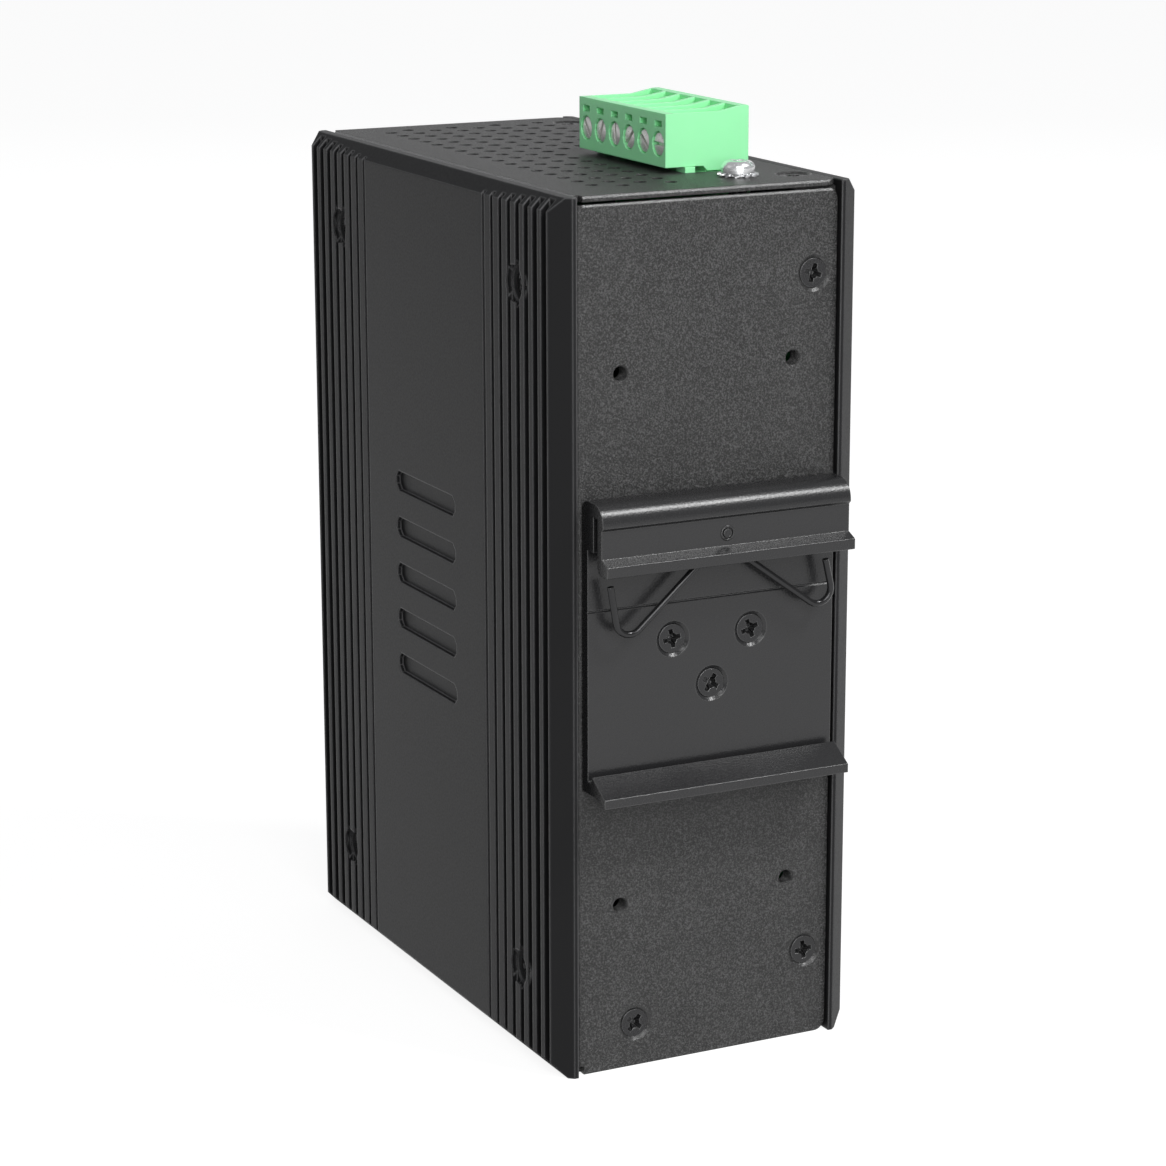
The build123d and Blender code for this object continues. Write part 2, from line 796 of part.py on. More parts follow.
# Ground screw
def ground_screw():
    """A pan-head screw on a toothed washer."""
    base = body_height + washer_thickness
    radius = ground_head / 2
    shank = screw_size / 2 - thread_clearance
    crown = ground_head_height * 0.35
    place = (-ground_x, rear_y - ground_inset, base)
    steps = [(radius - crown, ground_head_height), (radius, ground_head_height - crown), (radius, 0)]
    head = faceted_turning(place, (0, 0, 1), steps, seat_sides)
    return head + faceted_bar(place, (0, 0, -1), shank, 4 * sheet, screw_sides, around=False)


def lock_washer():
    """A washer with outside teeth."""
    tips = []
    for i in range(2 * washer_teeth):
        reach = washer_size / 2 - (washer_tooth if i % 2 else 0)
        angle = math.pi / washer_teeth * i
        tips.append((reach * math.cos(angle), reach * math.sin(angle)))
    ring = make_face(Polyline(*tips, tips[0]))
    ring -= RegularPolygon(screw_size / 2 + thread_clearance, bore_sides, major_radius=False)
    return Pos(-ground_x, rear_y - ground_inset, body_height) * extrude(ring, washer_thickness)


# Boards and what they carry
def board_plate(x_face, outward, y, z):
    """A circuit board whose parts face one way."""
    x = sorted((x_face, x_face - outward * board))
    return block(x, y, z)


def standoff_places(front, rear, low, high):
    """Where a board is screwed to its standoffs, at two heights."""
    ys = (rear - standoff_inset, front + standoff_front_inset)
    return [(y, z) for y in ys for z in (low, high)]


power_top = body_height - power_margin_z
main_places = standoff_places(
    board_front, board_rear, board_margin_z + standoff_inset_z, fibre_z + fibre_width / 2 + standoff_fibre_gap
)
power_places = standoff_places(
    power_front, power_rear, power_margin_z + standoff_inset_z, power_top - standoff_inset_z
)


def main_board():
    """The board at the lid, with holes for its screws."""
    plate = board_plate(board_face, 1, (board_front, board_rear), (board_margin_z, board_top))
    for y, z in main_places:
        start = (board_face - 2 * board, y, z)
        plate -= faceted_bar(start, (1, 0, 0), screw_size / 2 + shank_clearance, 4 * board, bore_sides)
    for y in pole_places():
        w = header_pin / 2 + thread_clearance
        low = header_bottom - 2 * header_pin
        plate -= block(
            (board_face - 2 * board, board_face + board), (y - w, y + w),
            (low - thread_clearance, low + header_pin + thread_clearance),
        )
    return plate


def power_board():
    """The board at the tray's wall, with holes for its screws."""
    plate = board_plate(power_face, -1, (power_front, power_rear), (power_margin_z, power_top))
    for y, z in power_places:
        start = (power_face - board, y, z)
        plate -= faceted_bar(start, (1, 0, 0), screw_size / 2 + shank_clearance, 4 * board, bore_sides)
    return plate


def standoffs(places, wall, inward, height):
    """Hexagonal standoffs on a wall, each with its thread."""
    posts = []
    for y, z in places:
        post = faceted_bar((wall, y, z), (inward, 0, 0), standoff_across / 2, height, 6)
        bore = faceted_bar((wall - inward, y, z), (inward, 0, 0), screw_size / 2, height + 2, bore_sides)
        posts.append(post - bore)
    return joined(posts)


def board_screws(places, face, outward, grip):
    """Pan-head screws through a board into its standoffs."""
    shank = screw_size / 2 - thread_clearance
    screws = []
    for y, z in places:
        place = (face, y, z)
        head = faceted_bar(place, (outward, 0, 0), board_screw_head / 2, board_screw_height, bore_sides)
        screws.append(head + faceted_bar(place, (-outward, 0, 0), shank, grip, bore_sides, around=False))
    return joined(screws)


def ethernet_jack(z):
    """One socket's plastic insert, with the stepped mouth for a latched plug."""
    x0 = board_face + shield
    body = block(
        (x0, x0 + jack_height), (port_face + shield, port_face + jack_depth),
        (z - jack_width / 2, z + jack_width / 2),
    )
    floor = x0 + mouth_floor
    deep = (port_face - 1, port_face + mouth_depth)
    body -= block((floor, floor + mouth_height), deep, (z - mouth_width / 2, z + mouth_width / 2))
    body -= block(
        (floor + mouth_height / 2, floor + mouth_height + latch_height), deep,
        (z - latch_width / 2, z + latch_width / 2),
    )
    return body


def jack_shield(z):
    """The bent metal can round one socket, open at its mouth and towards the board."""
    x = (board_face, board_face + jack_height + 2 * shield)
    y = (port_face, port_face + jack_depth + shield)
    width = jack_width / 2 + shield
    can = block(x, y, (z - width, z + width))
    can -= block(
        (board_face + shield, x[1] - shield), (port_face + shield, y[1] - shield),
        (z - jack_width / 2, z + jack_width / 2),
    )
    can -= block(
        (board_face - 1, board_face + shield), (port_face + 2 * shield, y[1] + 1),
        (z - jack_width / 2, z + jack_width / 2),
    )
    floor = board_face + shield + mouth_floor
    deep = (port_face - 1, port_face + shield)
    can -= block((floor, floor + mouth_height), deep, (z - mouth_width / 2, z + mouth_width / 2))
    can -= block(
        (floor + mouth_height / 2, floor + mouth_height + latch_height), deep,
        (z - latch_width / 2, z + latch_width / 2),
    )
    return can


def jack_contacts(z):
    """The eight sprung contacts in one socket's floor."""
    floor = board_face + shield + mouth_floor
    root = port_face + mouth_depth
    run = mouth_depth * 0.7
    lift = mouth_height * 0.3
    side = make_face(Polyline(
        (floor, root - run), (floor + contact_size, root - run), (floor + contact_size + lift, root),
        (floor + lift, root), (floor, root - run),
    ))
    bars = []
    for i in range(contact_count):
        offset = z + (i - (contact_count - 1) / 2) * contact_pitch
        bars.append(Pos(0, 0, offset) * extrude(side, contact_size / 2, both=True))
    return bars


def fibre_cage():
    """The metal cage for a fibre module, open at the front."""
    y = (port_face, port_face + fibre_depth)
    z = (fibre_z - fibre_width / 2, fibre_z + fibre_width / 2)
    cage = block((board_face, board_face + fibre_height), y, z)
    return cage - block(
        (board_face + fibre_wall, board_face + fibre_height - fibre_wall), (y[0] - 1, y[1] - fibre_wall),
        (z[0] + fibre_wall, z[1] - fibre_wall),
    )


def fibre_socket():
    """The edge connector at the back of the cage."""
    gap = fibre_wall / 2
    back = port_face + fibre_depth - fibre_wall
    front = back - fibre_socket_depth
    body = block(
        (board_face + fibre_wall, board_face + fibre_height - fibre_wall - gap), (front, back),
        (fibre_z - fibre_width / 2 + fibre_wall + gap, fibre_z + fibre_width / 2 - fibre_wall - gap),
    )
    mid = board_face + fibre_height / 2
    return body - block(
        (mid - fibre_slot / 2, mid + fibre_slot / 2), (front - 1, front + fibre_slot_depth),
        (fibre_z - fibre_width / 2 + 2 * header_wall, fibre_z + fibre_width / 2 - 2 * header_wall),
    )


def lamp_holder():
    """The black block that holds the four lamps on the board."""
    xs = [x for x, z in lamp_places()]
    zs = [z for x, z in lamp_places()]
    back = panel_front + 2 * sheet
    block_y = (back, back + lamp_depth)
    body = block((board_face, max(xs) + lamp_rim), block_y, (min(zs) - lamp_rim, max(zs) + lamp_rim))
    for x, z in lamp_places():
        body -= faceted_bar((x, back - 1, z), (0, 1, 0), lamp_size / 2, lamp_depth / 2 + 1, screw_sides)
    return body


def status_lamps():
    """Four round lamps that look through the front panel."""
    back = panel_front + 2 * sheet + lamp_depth / 2
    length = back - port_face
    radius = lamp_size / 2 - thread_clearance
    steps = [(radius * 0.6, length), (radius, length - radius * 0.4), (radius, 0)]
    return joined(faceted_turning((x, back, z), (0, -1, 0), steps, screw_sides) for x, z in lamp_places())


# Places of the parts on the main board
chip_y = (board_front + board_rear) / 2
chip_z = middle_z - port_pitch
poe_chip_z = [chip_z + 1.5 * port_pitch + i * 1.5 * poe_chip_size for i in range(2)]


def parts_behind_main_board():
    """The switch chip and its two power controllers, with pads that carry their heat to the lid."""
    back = board_face - board
    wall = -wall_in
    half_chip = chip_size / 2
    nodes = {}
    y = (chip_y - half_chip, chip_y + half_chip)
    z = (chip_z - half_chip, chip_z + half_chip)
    nodes["switch_chip"] = block((back - chip_height, back), y, z)
    nodes["switch_chip_pad"] = block((wall, back - chip_height), y, z)
    chips = []
    pads = []
    for centre in poe_chip_z:
        y = (chip_y - poe_chip_size / 2, chip_y + poe_chip_size / 2)
        z = (centre - poe_chip_size / 2, centre + poe_chip_size / 2)
        chips.append(block((back - poe_chip_height, back), y, z))
        pads.append(block((wall, back - poe_chip_height), y, z))
    nodes["poe_controllers"] = joined(chips)
    nodes["poe_controller_pads"] = joined(pads)
    return nodes


def port_magnetics(z):
    """The moulded transformer block behind one socket."""
    y0 = port_face + jack_depth + 4 * shield + 2
    body = block(
        (board_face, board_face + magnetics_height), (y0, y0 + magnetics_length),
        (z - magnetics_width / 2, z + magnetics_width / 2),
    )
    top = body.faces().sort_by(Axis.X)[-1]
    return chamfer(top.edges(), header_wall / 2)


def power_capacitor(i):
    """A can capacitor that stands on the power board."""
    z = power_margin_z + 2 * capacitor_size + i * 1.3 * capacitor_size
    y = power_rear - 1.5 * capacitor_size
    radius = capacitor_size / 2
    edge = header_wall / 2
    steps = [(radius - edge, capacitor_height), (radius, capacitor_height - edge), (radius, 0)]
    return faceted_turning((power_face, y, z), (-1, 0, 0), steps, seat_sides)


def power_transformer():
    """The transformer: a ferrite core round a winding."""
    y = power_rear - 2 * transformer_length
    z = power_margin_z + 2 * transformer_width
    core = block(
        (power_face - transformer_height, power_face),
        (y - transformer_length / 2, y + transformer_length / 2),
        (z - transformer_width / 2, z + transformer_width / 2),
    )
    limb = transformer_length / 5
    window = transformer_length / 2 - limb
    rest = transformer_height - winding_height
    core -= block(
        (power_face - transformer_height + rest, power_face + 1), (y - window, y + window),
        (z - transformer_width, z + transformer_width),
    )
    place = (power_face, y, z)
    reach = window - thread_clearance
    tall = winding_height - thread_clearance
    return core, faceted_bar(place, (-1, 0, 0), reach, tall, seat_sides, around=False)


def power_coil(i):
    """A shielded storage coil on the power board."""
    z = body_height - power_margin_z - 1.5 * coil_size - i * 1.5 * coil_size
    y = power_rear - 2 * coil_size
    body = block(
        (power_face - coil_height, power_face), (y - coil_size / 2, y + coil_size / 2),
        (z - coil_size / 2, z + coil_size / 2),
    )
    return chamfer(body.edges().filter_by(Axis.X), coil_size / 6)


def alarm_relay():
    """The relay behind the alarm contact, under the terminal header."""
    top = header_bottom - 4 * header_pin
    return block(
        (board_face, board_face + relay_height),
        (plug_middle - relay_width / 2, plug_middle + relay_width / 2),
        (top - relay_length, top),
    )


def link_card():
    """The small board that joins the two boards, and its two sockets."""
    y = (chip_y - socket_length / 2, chip_y + socket_length / 2)
    z = (port_z[-1] + port_z[-2]) / 2
    card = block(
        (board_face + card_seat, power_face - card_seat), (y[0] + 1, y[1] - 1), (z - board / 2, z + board / 2)
    )
    sockets = []
    for low, high in ((board_face, board_face + socket_height), (power_face - socket_height, power_face)):
        socket = block((low, high), y, (z - socket_width / 2, z + socket_width / 2))
        slot_z = (z - board / 2 - thread_clearance, z + board / 2 + thread_clearance)
        slot = block(
            (board_face + card_seat - thread_clearance, power_face - card_seat + thread_clearance),
            (y[0] + 1 - thread_clearance, y[1] - 1 + thread_clearance), slot_z,
        )
        sockets.append(socket - slot)
    return card, sockets


def press_nuts():
    """Threaded bushes pressed into the rear panel from inside, behind its holes and the clip's."""
    nuts = []
    for x, z in mount_places + clip_screw_places:
        place = (x, panel_rear - sheet, z)
        body = faceted_bar(place, (0, -1, 0), nut_across / 2, nut_height, 6)
        bore = faceted_bar((x, panel_rear, z), (0, -1, 0), screw_size / 2, nut_height + 2 * sheet, bore_sides)
        nuts.append(body - bore)
    return joined(nuts)


# All pieces, each under its own name
sink = heat_sink()
tray = finished_tray()
nodes = {
    "heat_sink_right": sink,
    "heat_sink_left": mirror(sink, about=Plane.YZ),
    "chassis_tray": tray,
    "chassis_lid": chassis_lid(),
    "rail_clip": rail_clip(),
    "clip_spring": wire_spring(),
    "clip_rivet": clip_rivet(),
    "clip_screws": joined(
        countersunk_screw((x, panel_rear + clip_plate, z), (0, 1, 0), clip_plate + sheet + nut_height)
        for x, z in clip_screw_places
    ),
    "rear_screws": joined(
        countersunk_screw((x, panel_rear, z), (0, 1, 0), panel_screw_length)
        for x, z in lid_screw_places + [(foot_screw_x, foot_screw_z)]
    ),
    "top_screws": joined(
        countersunk_screw((-top_screw_x, y, body_height), (0, 0, 1), panel_screw_length) for y in top_screw_y
    ),
    "bottom_screws": joined(
        countersunk_screw((-top_screw_x, y, 0), (0, 0, -1), panel_screw_length) for y in top_screw_y
    ),
    "side_screws": joined(
        countersunk_screw((side * side_face, y, z), (side, 0, 0), side_screw_length)
        for side in (-1, 1)
        for y, z in side_screw_places
    ),
    "rear_press_nuts": press_nuts(),
    "ground_screw": ground_screw(),
    "lock_washer": lock_washer(),
    "terminal_plug": terminal_plug(),
    "terminal_screws": terminal_screws(),
    "terminal_header": terminal_header(),
    "header_pins": header_pins(),
    "main_board": main_board(),
    "power_board": power_board(),
    "main_board_standoffs": standoffs(main_places, -wall_in, 1, board_standoff),
    "power_board_standoffs": standoffs(power_places, wall_in, -1, power_standoff),
    "main_board_screws": board_screws(main_places, board_face, 1, board + board_standoff - 1),
    "power_board_screws": board_screws(power_places, power_face, -1, board + power_standoff - 1),
    "fibre_cage": fibre_cage(),
    "fibre_socket": fibre_socket(),
    "lamp_holder": lamp_holder(),
    "status_lamps": status_lamps(),
    "alarm_relay": alarm_relay(),
}
for i, z in enumerate(port_z, 1):
    nodes[f"ethernet_jack_{i}"] = ethernet_jack(z)
    nodes[f"jack_shield_{i}"] = jack_shield(z)
    nodes[f"port_magnetics_{i}"] = port_magnetics(z)
nodes["jack_contacts"] = joined(bar for z in port_z for bar in jack_contacts(z))
for i in range(capacitor_count):
    nodes[f"power_capacitor_{i + 1}"] = power_capacitor(i)
nodes["power_coils"] = joined(power_coil(i) for i in range(coil_count))
nodes["transformer_core"], nodes["transformer_winding"] = power_transformer()
nodes["link_card"], link_sockets = link_card()
nodes["link_socket_main"], nodes["link_socket_power"] = link_sockets
nodes.update(parts_behind_main_board())

os.makedirs("parts", exist_ok=True)
for name, shape in nodes.items():
    export_step(shape, f"parts/{name}.step")
print(len(nodes), "nodes written")
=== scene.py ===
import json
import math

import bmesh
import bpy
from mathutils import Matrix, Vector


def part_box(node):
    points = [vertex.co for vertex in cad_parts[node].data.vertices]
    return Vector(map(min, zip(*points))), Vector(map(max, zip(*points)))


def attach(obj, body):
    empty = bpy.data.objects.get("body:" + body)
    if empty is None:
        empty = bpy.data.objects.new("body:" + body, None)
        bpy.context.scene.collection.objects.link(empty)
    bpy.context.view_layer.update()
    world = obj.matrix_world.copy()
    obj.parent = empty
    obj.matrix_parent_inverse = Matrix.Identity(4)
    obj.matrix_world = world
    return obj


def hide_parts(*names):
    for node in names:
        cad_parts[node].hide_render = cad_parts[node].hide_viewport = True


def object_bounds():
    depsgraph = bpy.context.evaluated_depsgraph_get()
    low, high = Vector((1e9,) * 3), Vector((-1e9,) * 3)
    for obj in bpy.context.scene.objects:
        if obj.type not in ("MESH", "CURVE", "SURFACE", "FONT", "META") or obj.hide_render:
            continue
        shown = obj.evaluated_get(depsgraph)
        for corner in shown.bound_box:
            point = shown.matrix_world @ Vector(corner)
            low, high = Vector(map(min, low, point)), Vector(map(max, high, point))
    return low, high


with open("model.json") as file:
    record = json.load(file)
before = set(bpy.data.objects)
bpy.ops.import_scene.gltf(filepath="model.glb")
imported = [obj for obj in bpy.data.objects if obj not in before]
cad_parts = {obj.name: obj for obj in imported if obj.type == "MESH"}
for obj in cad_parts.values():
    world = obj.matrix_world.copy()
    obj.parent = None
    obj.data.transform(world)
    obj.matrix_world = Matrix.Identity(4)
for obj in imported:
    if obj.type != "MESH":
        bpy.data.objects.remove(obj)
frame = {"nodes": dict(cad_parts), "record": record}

# %% [markdown]
# # A rail-mounted network switch, dressed and lit
# The solids of the switch are already loaded by the lines above: two grooved heat sinks, a folded
# steel box, a rail clip and what they hold. This lesson gives each of them the finish of the real
# thing, replaces the plain screws with ones that have recesses, and sets up a small photo studio.
# We start by measuring the size of the loaded model and printing it.

cad_low, cad_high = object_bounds()
MM = 0.001
cad_size = [round((high - low) / MM, 1) for low, high in zip(cad_low, cad_high)]
print("solids:", len(frame["nodes"]), "box in mm:", cad_size)

# %% [markdown]
# # Colours and nodes
# Blender computes with linear light, but a given colour is an sRGB value, so each colour is
# written as a hex value and turned to linear by one function. A second function adds a shader node
# with its settings, and fills or links its inputs. Pattern sizes are known in millimetres, and a
# texture's scale is its repeats per metre, so a third function turns one into the other. Short
# functions on top of these give names to the steps that most finishes share: a noise, a change of
# range, a blend of colours, a relief and the final surface.

# %% Helpers for materials
def linear(hex_colour):
    """Turns an sRGB hex colour into the linear RGBA that nodes use."""
    channels = [int(hex_colour[i:i + 2], 16) / 255 for i in (1, 3, 5)]
    return (*[c / 12.92 if c <= 0.04045 else ((c + 0.055) / 1.055) ** 2.4 for c in channels], 1.0)


def add_node(tree, kind, inputs=None, **settings):
    """Adds a node with its settings. An input takes a value, or a link from another node's output."""
    made = tree.nodes.new(kind)
    for name, value in settings.items():
        setattr(made, name, value)
    for key, value in (inputs or {}).items():
        if isinstance(value, bpy.types.NodeSocket):
            tree.links.new(value, made.inputs[key])
        else:
            made.inputs[key].default_value = value
    return made


def per_metre(millimetres):
    """The texture scale that makes one feature this many millimetres wide."""
    return 1 / (millimetres * MM)


def new_material(name):
    """An empty material: its tree, and its output node."""
    made = bpy.data.materials.new(name)
    made.use_nodes = True
    made.node_tree.nodes.clear()
    return made, made.node_tree, made.node_tree.nodes.new("ShaderNodeOutputMaterial")


# Nearly all of a noise lies between these two values
noise_range = (0.3, 0.7)


def object_place(tree):
    """The place on the object, in its own metres."""
    return add_node(tree, "ShaderNodeTexCoord").outputs["Object"]


def noise(tree, place, feature_mm, detail, **more):
    """A noise between 0 and 1 whose features are this many millimetres wide."""
    inputs = {"Vector": place, "Scale": per_metre(feature_mm), "Detail": detail, **more}
    return add_node(tree, "ShaderNodeTexNoise", inputs).outputs["Fac"]


def remapped(tree, value, low, high, to_low, to_high):
    """Runs from to_low to to_high while the value runs from low to high."""
    inputs = {"Value": value, "From Min": low, "From Max": high, "To Min": to_low, "To Max": to_high}
    return add_node(tree, "ShaderNodeMapRange", inputs).outputs["Result"]


def scaled_sum(tree, value, factor, added):
    """The value times the factor, plus what is added."""
    inputs = {0: value, 1: factor, 2: added}
    return add_node(tree, "ShaderNodeMath", inputs, operation="MULTIPLY_ADD").outputs[0]


def larger(tree, one, other):
    """The larger of two values."""
    return add_node(tree, "ShaderNodeMath", {0: one, 1: other}, operation="MAXIMUM").outputs[0]


def blended(tree, factor, first, second):
    """The first colour where the factor is 0, the second where it is 1."""
    inputs = {0: factor, 6: first, 7: second}
    return add_node(tree, "ShaderNodeMix", inputs, data_type="RGBA").outputs[2]


def relief(tree, height, strength, depth_mm, **more):
    """A normal that is tilted by a height pattern."""
    inputs = {"Height": height, "Strength": strength, "Distance": depth_mm * MM, **more}
    return add_node(tree, "ShaderNodeBump", inputs).outputs["Normal"]


def surfaced(tree, output, inputs):
    """A principled shader, linked to the material's output."""
    shader = add_node(tree, "ShaderNodeBsdfPrincipled", inputs)
    tree.links.new(shader.outputs[0], output.inputs[0])


print("a pebble of 0.25 mm has scale", round(per_metre(0.25)))

# %% [markdown]
# # Soft edges
# No real edge is perfectly sharp: a bent sheet, a cut extrusion and a moulded block all have a small
# round that catches the light as a thin bright line. Cutting that round into every mesh would cost
# many faces. Cycles can fake it in the shader instead: the Bevel node returns a normal that is
# rounded near an edge. Where this normal differs from the true one we are at an edge, and that
# difference is also a good mask for finishes that wear thin or run thin at edges, and for edges that
# are painted lighter as painted highlights.

# %% Rounded normals and an edge mask
flat_turn, edge_turn, bevel_samples = 0.995, 0.88, 6


def soft_edges(tree, radius_mm, normal=None):
    """The output of a rounded normal, and a mask that rises to 1 on edges."""
    inputs = {"Radius": radius_mm * MM}
    if normal is not None:
        inputs["Normal"] = normal
    rounded = add_node(tree, "ShaderNodeBevel", inputs, samples=bevel_samples)
    plain = add_node(tree, "ShaderNodeBevel", {"Radius": radius_mm * MM}, samples=bevel_samples)
    flat = add_node(tree, "ShaderNodeNewGeometry")
    both = {0: plain.outputs[0], 1: flat.outputs["Normal"]}
    turn = add_node(tree, "ShaderNodeVectorMath", both, operation="DOT_PRODUCT")
    return rounded.outputs[0], remapped(tree, turn.outputs["Value"], flat_turn, edge_turn, 0.0, 1.0)


print("edges are rounded in the shader only")

# %% [markdown]
# # Powder-coated steel
# The box is folded from 1 mm steel, sprayed with dry black powder and baked. The powder flows into a
# skin with a fine, pebbled texture, about a quarter of a millimetre from crest to crest, and each tiny
# crest glints. One noise makes the pebbles and a slow one the swell under them. The crests are also
# painted lighter in the base colour, as painted glints, while the swell varies the tone at random. On
# edges the skin runs thin and smooth, so the mask lowers the roughness and the pebbles there. Chamfers
# and bends, whose faces are tilted against the box's main planes, count as edges too.

# %% Material: powder-coated steel
def powder_coated_steel():
    made, tree, output = new_material("powder_coated_steel")
    place = object_place(tree)
    pebble_mm, swell_mm, relief_mm, round_mm = 0.25, 11.0, 0.1, 0.28
    valley, crest_top = 0.45, 0.74
    flat_skin, bent_skin = 0.98, 0.9
    dull, shiny, edge_shine, edge_calm, swell_share = 0.48, 0.32, 0.2, 0.8, 0.12

    pebbles = noise(tree, place, pebble_mm, 2.0, Roughness=0.6)
    swell = noise(tree, place, swell_mm, 1.0)
    crests = remapped(tree, pebbles, valley, crest_top, 0.0, 1.0)

    soft, rim = soft_edges(tree, round_mm)
    face_normal = add_node(tree, "ShaderNodeNewGeometry").outputs["True Normal"]
    facing_way = add_node(tree, "ShaderNodeVectorMath", {0: face_normal}, operation="ABSOLUTE")
    parts = add_node(tree, "ShaderNodeSeparateXYZ", {0: facing_way.outputs[0]}).outputs
    widest = larger(tree, larger(tree, parts[0], parts[1]), parts[2])
    edge = larger(tree, rim, remapped(tree, widest, flat_skin, bent_skin, 0.0, 1.0))

    calm = scaled_sum(tree, edge, -edge_calm, 1.0)
    bumped = relief(tree, crests, calm, relief_mm, Normal=soft)
    glint = remapped(tree, crests, 0.0, 1.0, dull, shiny)
    thin = scaled_sum(tree, edge, -edge_shine, glint)
    # Painted glints: the pebble crests lighten the base colour, on top of a slow random swell of tone.
    painted_glints_and_swell = scaled_sum(tree, swell, swell_share, crests)
    tint = blended(tree, painted_glints_and_swell, linear("#171717"), linear("#5c5c5c"))
    surfaced(tree, output, {"Base Color": tint, "Roughness": thin, "Normal": bumped, "IOR": 1.45})
    return made


powder_coat = powder_coated_steel()
print("made", powder_coat.name)

# %% [markdown]
# # Black anodised aluminium
# The heat sinks are pressed through a die, blasted and anodised black. The dyed oxide is a thin clear
# skin over metal, so the surface is an even satin with a faint grain, and the die leaves very fine
# lines along the height. Noise stretched along Z gives those lines. The edges are painted lighter in
# the base colour, as a painted highlight along them.

# %% Material: anodised aluminium
def anodised_aluminium():
    made, tree, output = new_material("anodised_aluminium")
    place = object_place(tree)
    grain_mm, line_mm, relief_mm, round_mm = 0.35, 0.6, 0.02, 0.5
    line_share, relief_strength, dull, shiny = 0.35, 0.3, 0.48, 0.38

    grain = noise(tree, place, grain_mm, 2.0)
    along = add_node(tree, "ShaderNodeMapping", {"Vector": place, "Scale": (1.0, 1.0, 0.01)})
    lines = noise(tree, along.outputs[0], line_mm, 3.0)
    height = scaled_sum(tree, lines, line_share, grain)
    normal, edge = soft_edges(tree, round_mm, relief(tree, height, relief_strength, relief_mm))
    rough = remapped(tree, grain, *noise_range, dull, shiny)
    # Painted highlight: the edge mask lightens the base colour along the edges.
    tint = blended(tree, edge, linear("#1e1e1f"), linear("#646465"))
    surfaced(tree, output, {
        "Base Color": tint, "Roughness": rough, "Normal": normal, "IOR": 1.45, "Specular IOR Level": 0.15,
    })
    return made


anodised = anodised_aluminium()
print("made", anodised.name)

# %% [markdown]
# # Coated extrusion of the rail clip
# The clip is a short length of another extrusion, painted semi-gloss black. The paint follows the
# fine draw lines along the profile's length, which is X here, and it is glossy enough to show long
# highlights on the rounded hook. Its edges are painted lighter in the base colour, as painted
# highlights.

# %% Material: coated aluminium
def coated_aluminium():
    made, tree, output = new_material("coated_aluminium")
    place = object_place(tree)
    line_mm, peel_mm, relief_mm, round_mm = 0.45, 0.3, 0.06, 0.2
    line_share, relief_strength, edge_calm = 0.1, 0.5, 0.4
    dull, shiny, edge_shine = 0.30, 0.22, 0.1

    along = add_node(tree, "ShaderNodeMapping", {"Vector": place, "Scale": (0.015, 1.0, 1.0)})
    lines = noise(tree, along.outputs[0], line_mm, 3.0)
    peel = noise(tree, place, peel_mm, 2.0)
    height = scaled_sum(tree, lines, line_share, peel)
    soft, edge = soft_edges(tree, round_mm)
    calm = scaled_sum(tree, edge, -edge_calm, relief_strength)
    bumped = relief(tree, height, calm, relief_mm, Normal=soft)
    worn = scaled_sum(tree, edge, -edge_shine, remapped(tree, peel, *noise_range, dull, shiny))
    # Painted highlight: the edge mask lightens the base colour along the edges.
    tint = blended(tree, edge, linear("#252526"), linear("#606060"))
    surfaced(tree, output, {
        "Base Color": tint, "Roughness": worn, "Normal": bumped, "IOR": 1.5, "Specular IOR Level": 0.45,
    })
    return made


clip_coat = coated_aluminium()
print("made", clip_coat.name)

# %% [markdown]
# # Small metals
# Screws, springs, nuts, contacts and shields are all bare or thinly plated metal. They differ in
# colour and polish, so one function makes them: a metal's colour sits in its base colour, plating
# marks vary the roughness, and a soft bump stands for the tumbling scratches. Oxide or clear varnish
# over a metal makes it less metallic. The terminal's screws are plated like the ground screw, but a
# less metallic finish keeps them light in their dark recesses.

# %% Materials: plated and blackened metals
metal_relief, metal_relief_mm = 0.3, 0.01


def plated_metal(name, colour, dull, shine, mark_mm=0.25, metallic=1.0, worn=None, edge_mm=0.08):
    """A metal that turns to its worn colour on edges, where its skin has been rubbed off."""
    made, tree, output = new_material(name)
    marks = noise(tree, object_place(tree), mark_mm, 3.0)
    normal, edge = soft_edges(tree, edge_mm, relief(tree, marks, metal_relief, metal_relief_mm))
    rough = remapped(tree, marks, *noise_range, dull, shine)
    tint = blended(tree, edge, linear(colour), linear(worn or colour))
    surfaced(tree, output, {"Base Color": tint, "Metallic": metallic, "Roughness": rough, "Normal": normal})
    return made


metal_recipes = {
    "blackened_steel": ("#323233", 0.34, 0.22, {"metallic": 0.6, "worn": "#808080", "edge_mm": 0.12}),
    "spring_steel": ("#2f2f30", 0.22, 0.14, {"metallic": 0.6, "worn": "#9a9a9a", "edge_mm": 0.1}),
    "nickel_plated_steel": ("#f0f1f2", 0.28, 0.18, {"metallic": 0.85}),
    "clamp_steel": ("#f0efec", 0.36, 0.26, {"metallic": 0.6}),
    "zinc_plated_steel": ("#e4e8ee", 0.30, 0.20, {"metallic": 0.85}),
    "nickel_plated_brass": ("#d9d4c4", 0.28, 0.18, {}),
    "tinned_brass": ("#d6d6d3", 0.34, 0.26, {}),
    "gold_plated_contact": ("#e6bf62", 0.24, 0.16, {}),
    "socket_shield": ("#d2cfc8", 0.30, 0.20, {"mark_mm": 0.8}),
}
metals = {
    name: plated_metal(name, colour, dull, shine, **more)
    for name, (colour, dull, shine, more) in metal_recipes.items()
}
print("metals:", ", ".join(metals))

# %% [markdown]
# # Moulded plastics
# The terminal is green polyamide, moulded in a spark-eroded tool that leaves a fine matt grain. Light
# enters such a plastic a little way, which softens its shadows, so it gets a small subsurface amount.
# Black connector bodies, relay case and chips use the same recipe without the inner light.

# %% Materials: plastics
plastic_relief, plastic_relief_mm, flow_mm, flow_shade = 0.2, 0.015, 9.0, 0.93
glow_reach, glow_reach_mm = (0.6, 1.0, 0.7), 0.7


